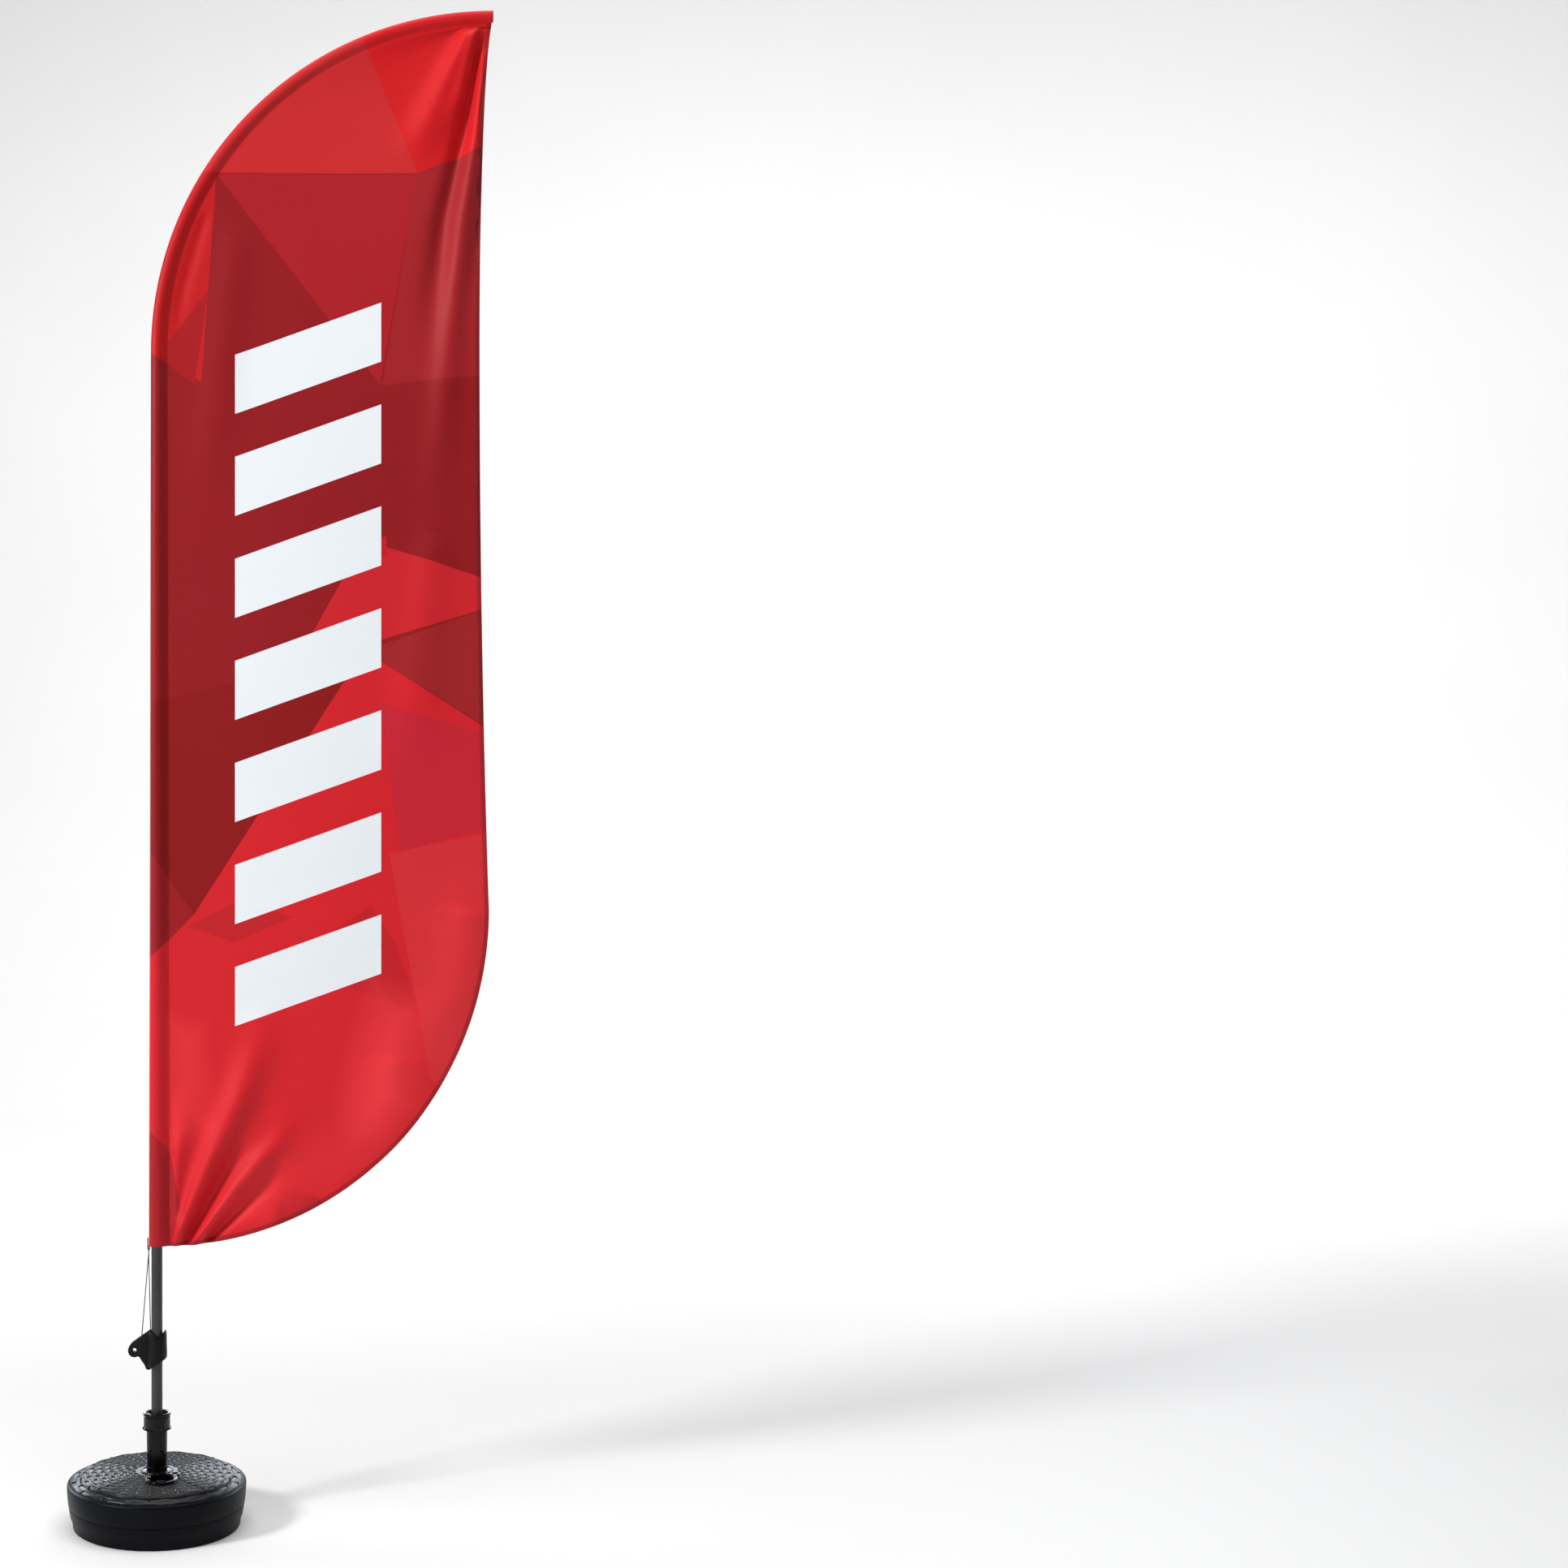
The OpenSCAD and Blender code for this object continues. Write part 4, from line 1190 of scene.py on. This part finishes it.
def clip_band():
    """The moulded band round the mast, its rim dipping in front between two horns."""
    low, high = 392 * MM, 490 * MM
    outer, inner = 25 * MM, MAST_R + 0.4 * MM

    def rim(x):
        return np.interp(x, [-26, -14, -5, 4, 13, 21, 26], [478, 488, 483, 470, 478, 489, 484])

    def foot(x):
        return np.interp(x, [-26, -20, 4, 20, 26], [392, 394, 409, 417, 420])

    section = [(inner, 0.0), (inner, 1.0), (inner + 1.2 * MM, 1.0), (outer - 2.5 * MM, 1.0),
               (outer - 0.8 * MM, 0.985), (outer, 0.95), (outer, 0.7), (outer - 0.4 * MM, 0.5),
               (outer, 0.3), (outer, 0.05), (outer - 0.8 * MM, 0.015),
               (outer - 2.5 * MM, 0.0), (inner, 0.0)]
    around = 120

    def place(u, v):
        turn = 2 * math.pi * np.rint(u * around) / around
        k = np.rint(v * (len(section) - 1)).astype(int)
        radius = np.array([p[0] for p in section])[k]
        share = np.array([p[1] for p in section])[k]
        radius = radius * (1 + 0.02 * np.sin(turn * 3 + share * 5) * (radius > inner * 1.2))
        x, y = radius * np.cos(turn), radius * np.sin(turn)
        top, bottom = rim(x / MM) * MM, foot(x / MM) * MM
        return np.stack([x, y, bottom + (top - bottom) * share], axis=1)

    band = cloth_grid("clip_band_visual", around, len(section) - 1, place)
    settle(band, 40)
    obj = joined("clip_band_visual", [band, clip_lug(1), clip_lug(-1)])
    return finish_piece(obj, CLIP_BLACK, "clip", "clip_rubber", "clip_band")


def clip_lug(side):
    """One of the two lugs behind the band that the pinch screw pulls together."""
    deselect()
    bpy.ops.mesh.primitive_cube_add(size=1)
    lug = name_new("clip_lug")
    for vertex in lug.data.vertices:
        x = 7 * MM if vertex.co.x > 0 else 1 * MM
        y = 38 * MM if vertex.co.y > 0 else 20 * MM
        z = 452 * MM if vertex.co.z > 0 else 428 * MM
        vertex.co = (side * x, y, z)
    edit(lug)
    bpy.ops.mesh.normals_make_consistent(inside=False)
    bpy.ops.mesh.bevel(offset=1 * MM, segments=3, affect="EDGES")
    return settle(lug, 40)


def cut_out(name, outline, kind, hole, half, edge_round, steps):
    """A flat shape standing in the plane y = 0, with a round hole given as (x, z, radius)."""
    curve = new_curve(name, "2D", edge_round, steps)
    curve.fill_mode = "BOTH"
    curve.extrude = half
    draw_line(curve, [(x * MM, z * MM, 0) for x, z in outline], kind, True)
    x, z, radius = hole
    draw_line(curve, [((x + radius * math.cos(math.pi * k / 4)) * MM,
                       (z + radius * math.sin(math.pi * k / 4)) * MM, 0) for k in range(8)],
              "BEZIER", True)
    obj = curve_piece(curve)
    obj.rotation_euler = (math.pi / 2, 0, 0)
    return settle(obj, 40)


def clip_ear():
    """The ear that reaches back from the band to its eye."""
    outline = [(-14, 487), (-26, 481), (-38, 473), (-52, 463), (-64, 453), (-70, 440),
               (-66, 428), (-56, 424), (-46, 426), (-36, 414), (-28, 402), (-23, 393),
               (-14, 397), (-13, 440)]
    obj = cut_out("clip_ear_visual", outline, "BEZIER", (-56, 440, 7.2), 6.5 * MM, 2.2 * MM, 3)
    return finish_piece(obj, CLIP_BLACK, "clip", "clip_rubber", "clip_eye")


def webbing_tab():
    """The small webbing loop under the sleeve's fold that the cord runs through."""
    outline = [(-24, 722), (-24, 694), (-22.6, 692.2), (-20.5, 691.6), (-18.4, 692.4),
               (-17.2, 694.6), (-17.4, 697), (-19, 699.2), (-21.6, 701), (-21.8, 722)]
    obj = cut_out("cord_tab_visual", outline, "POLY", (-20.5, 695.8, 2.2), 1.5 * MM, 0.3 * MM, 4)
    return finish_piece(obj, HEM_CLOTH, "mast", "hem_cloth", "cord_tab")


# ---------------- carried-over nodes

NODE_FINISHES = {
    "water_fill": WATER, "filler_seal": RUBBER, "collet": GLOSS_BLACK,
    "swivel_foot": GLOSS_BLACK, "mast_lower": ANODISED, "mast_middle": ANODISED,
    "mast_upper": FIBRE, "mast_bow": FIBRE, "mast_tip": FIBRE, "stop_ring_lower": RUBBER,
    "stop_ring_middle": RUBBER, "stop_ring_upper": RUBBER, "stop_ring_bow": RUBBER,
    "tip_cap": RUBBER, "cord_knot": BRAID, "clip_screw": ZINC, "clip_nut": ZINC,
}


def finish_nodes():
    for name, material in NODE_FINISHES.items():
        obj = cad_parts[name]
        obj.data.materials.clear()
        obj.data.materials.append(material)


# ---------------- stage and light

FLOOR_WIDTH = 50
FLOOR_FRONT = -12
FLOOR_BACK = 6
WALL_BEND = 5
WORLD_SOFT = 0.26
WORLD_GLOSS = 0.18


def backdrop_piece(name, rows, place):
    """A strip of the backdrop, shaped by place(share) -> (y, z), shares running to the back."""
    deselect()
    bpy.ops.mesh.primitive_grid_add(x_subdivisions=2, y_subdivisions=rows, size=1)
    obj = name_new(name)
    for vertex in obj.data.vertices:
        y, z = place(vertex.co.y + 0.5)
        vertex.co = (vertex.co.x * FLOOR_WIDTH, y, z)
    bpy.ops.object.shade_smooth()
    obj.data.materials.append(FLOOR)
    return obj


def stage():
    """A pale floor, and a wall that bends up out of it and stays out of glossy reflections."""
    def on_floor(share):
        return FLOOR_FRONT + (FLOOR_BACK - FLOOR_FRONT) * share, 0

    def on_wall(share):
        turn = min(share * 3, 1) * math.pi / 2
        rise = max(share - 1 / 3, 0) * 15
        return FLOOR_BACK + WALL_BEND * math.sin(turn), WALL_BEND * (1 - math.cos(turn)) + rise

    backdrop_piece("studio_floor", 4, on_floor)
    wall = backdrop_piece("studio_wall", 48, on_wall)
    wall.visible_glossy = False


def area_light(name, place, aim, size, power, colour=(1, 1, 1), mirrored_only=False):
    data = bpy.data.lights.new(name, "AREA")
    data.shape = "RECTANGLE"
    data.size, data.size_y = size
    data.energy = power
    data.color = colour
    light = bpy.data.objects.new(name, data)
    bpy.context.collection.objects.link(light)
    light.location = place
    light.visible_diffuse = not mirrored_only
    light.rotation_euler = (Vector(aim) - Vector(place)).to_track_quat("-Z", "Y").to_euler()


def studio_world():
    """White behind the object, soft light on matt surfaces and a dim room for gloss to mirror."""
    world = bpy.data.worlds.new("studio")
    bpy.context.scene.world = world
    world.use_nodes = True
    tree = world.node_tree
    background = tree.nodes["Background"]
    background.inputs["Color"].default_value = (0.97, 0.98, 1, 1)
    ray = node(tree, "ShaderNodeLightPath")
    seen = math_node(tree, "MULTIPLY", ray.outputs["Is Camera Ray"], 1 - WORLD_SOFT)
    mirrored = math_node(tree, "MULTIPLY", ray.outputs["Is Glossy Ray"], WORLD_SOFT - WORLD_GLOSS)
    level = math_node(tree, "ADD", seen, WORLD_SOFT)
    level = math_node(tree, "SUBTRACT", level, mirrored)
    tree.links.new(level, background.inputs["Strength"])


def lighting():
    studio_world()
    area_light("key", (-5.2, -3.6, 4.6), (0.3, 0, 1.9), (1.4, 1.4), 430)
    area_light("overhead", (1.5, -0.6, 7.5), (1.5, -0.4, 0), (7, 5), 342)
    cool = (0.86, 0.93, 1)
    area_light("low_back", (0.4, 4.8, 1.5), (0, 0, 0.15), (3.5, 1.2), 70, cool, True)
    area_light("low_left", (-3.6, 3.2, 1.7), (0, 0, 0.15), (2.2, 1.7), 150, cool, True)
    area_light("low_right", (3.9, 3.2, 1.7), (0, 0, 0.15), (2.4, 1.7), 160, cool, True)
    for side, power in ((-1.5, 175), (4, 185), (9.5, 240)):
        area_light("wall_light", (side, 3.5, 5.5), (side, 11, 2.5), (4, 4), power)
    bpy.context.scene.view_settings.view_transform = "Standard"


# ---------------- assembly

set_camera()
cord = tension_cord()
open_filler(tank_side(), woven_lid(), hub_plate())
filler_neck()
stem_ring()
stem()
clamp_collar()
filler_cap()
panel = flag_panel()
hem = hem_band()
flag_sleeve()
hem_stitching = sewing()
tip_patch()
clip_band()
clip_ear()
webbing_tab()
finish_nodes()
stage()
lighting()
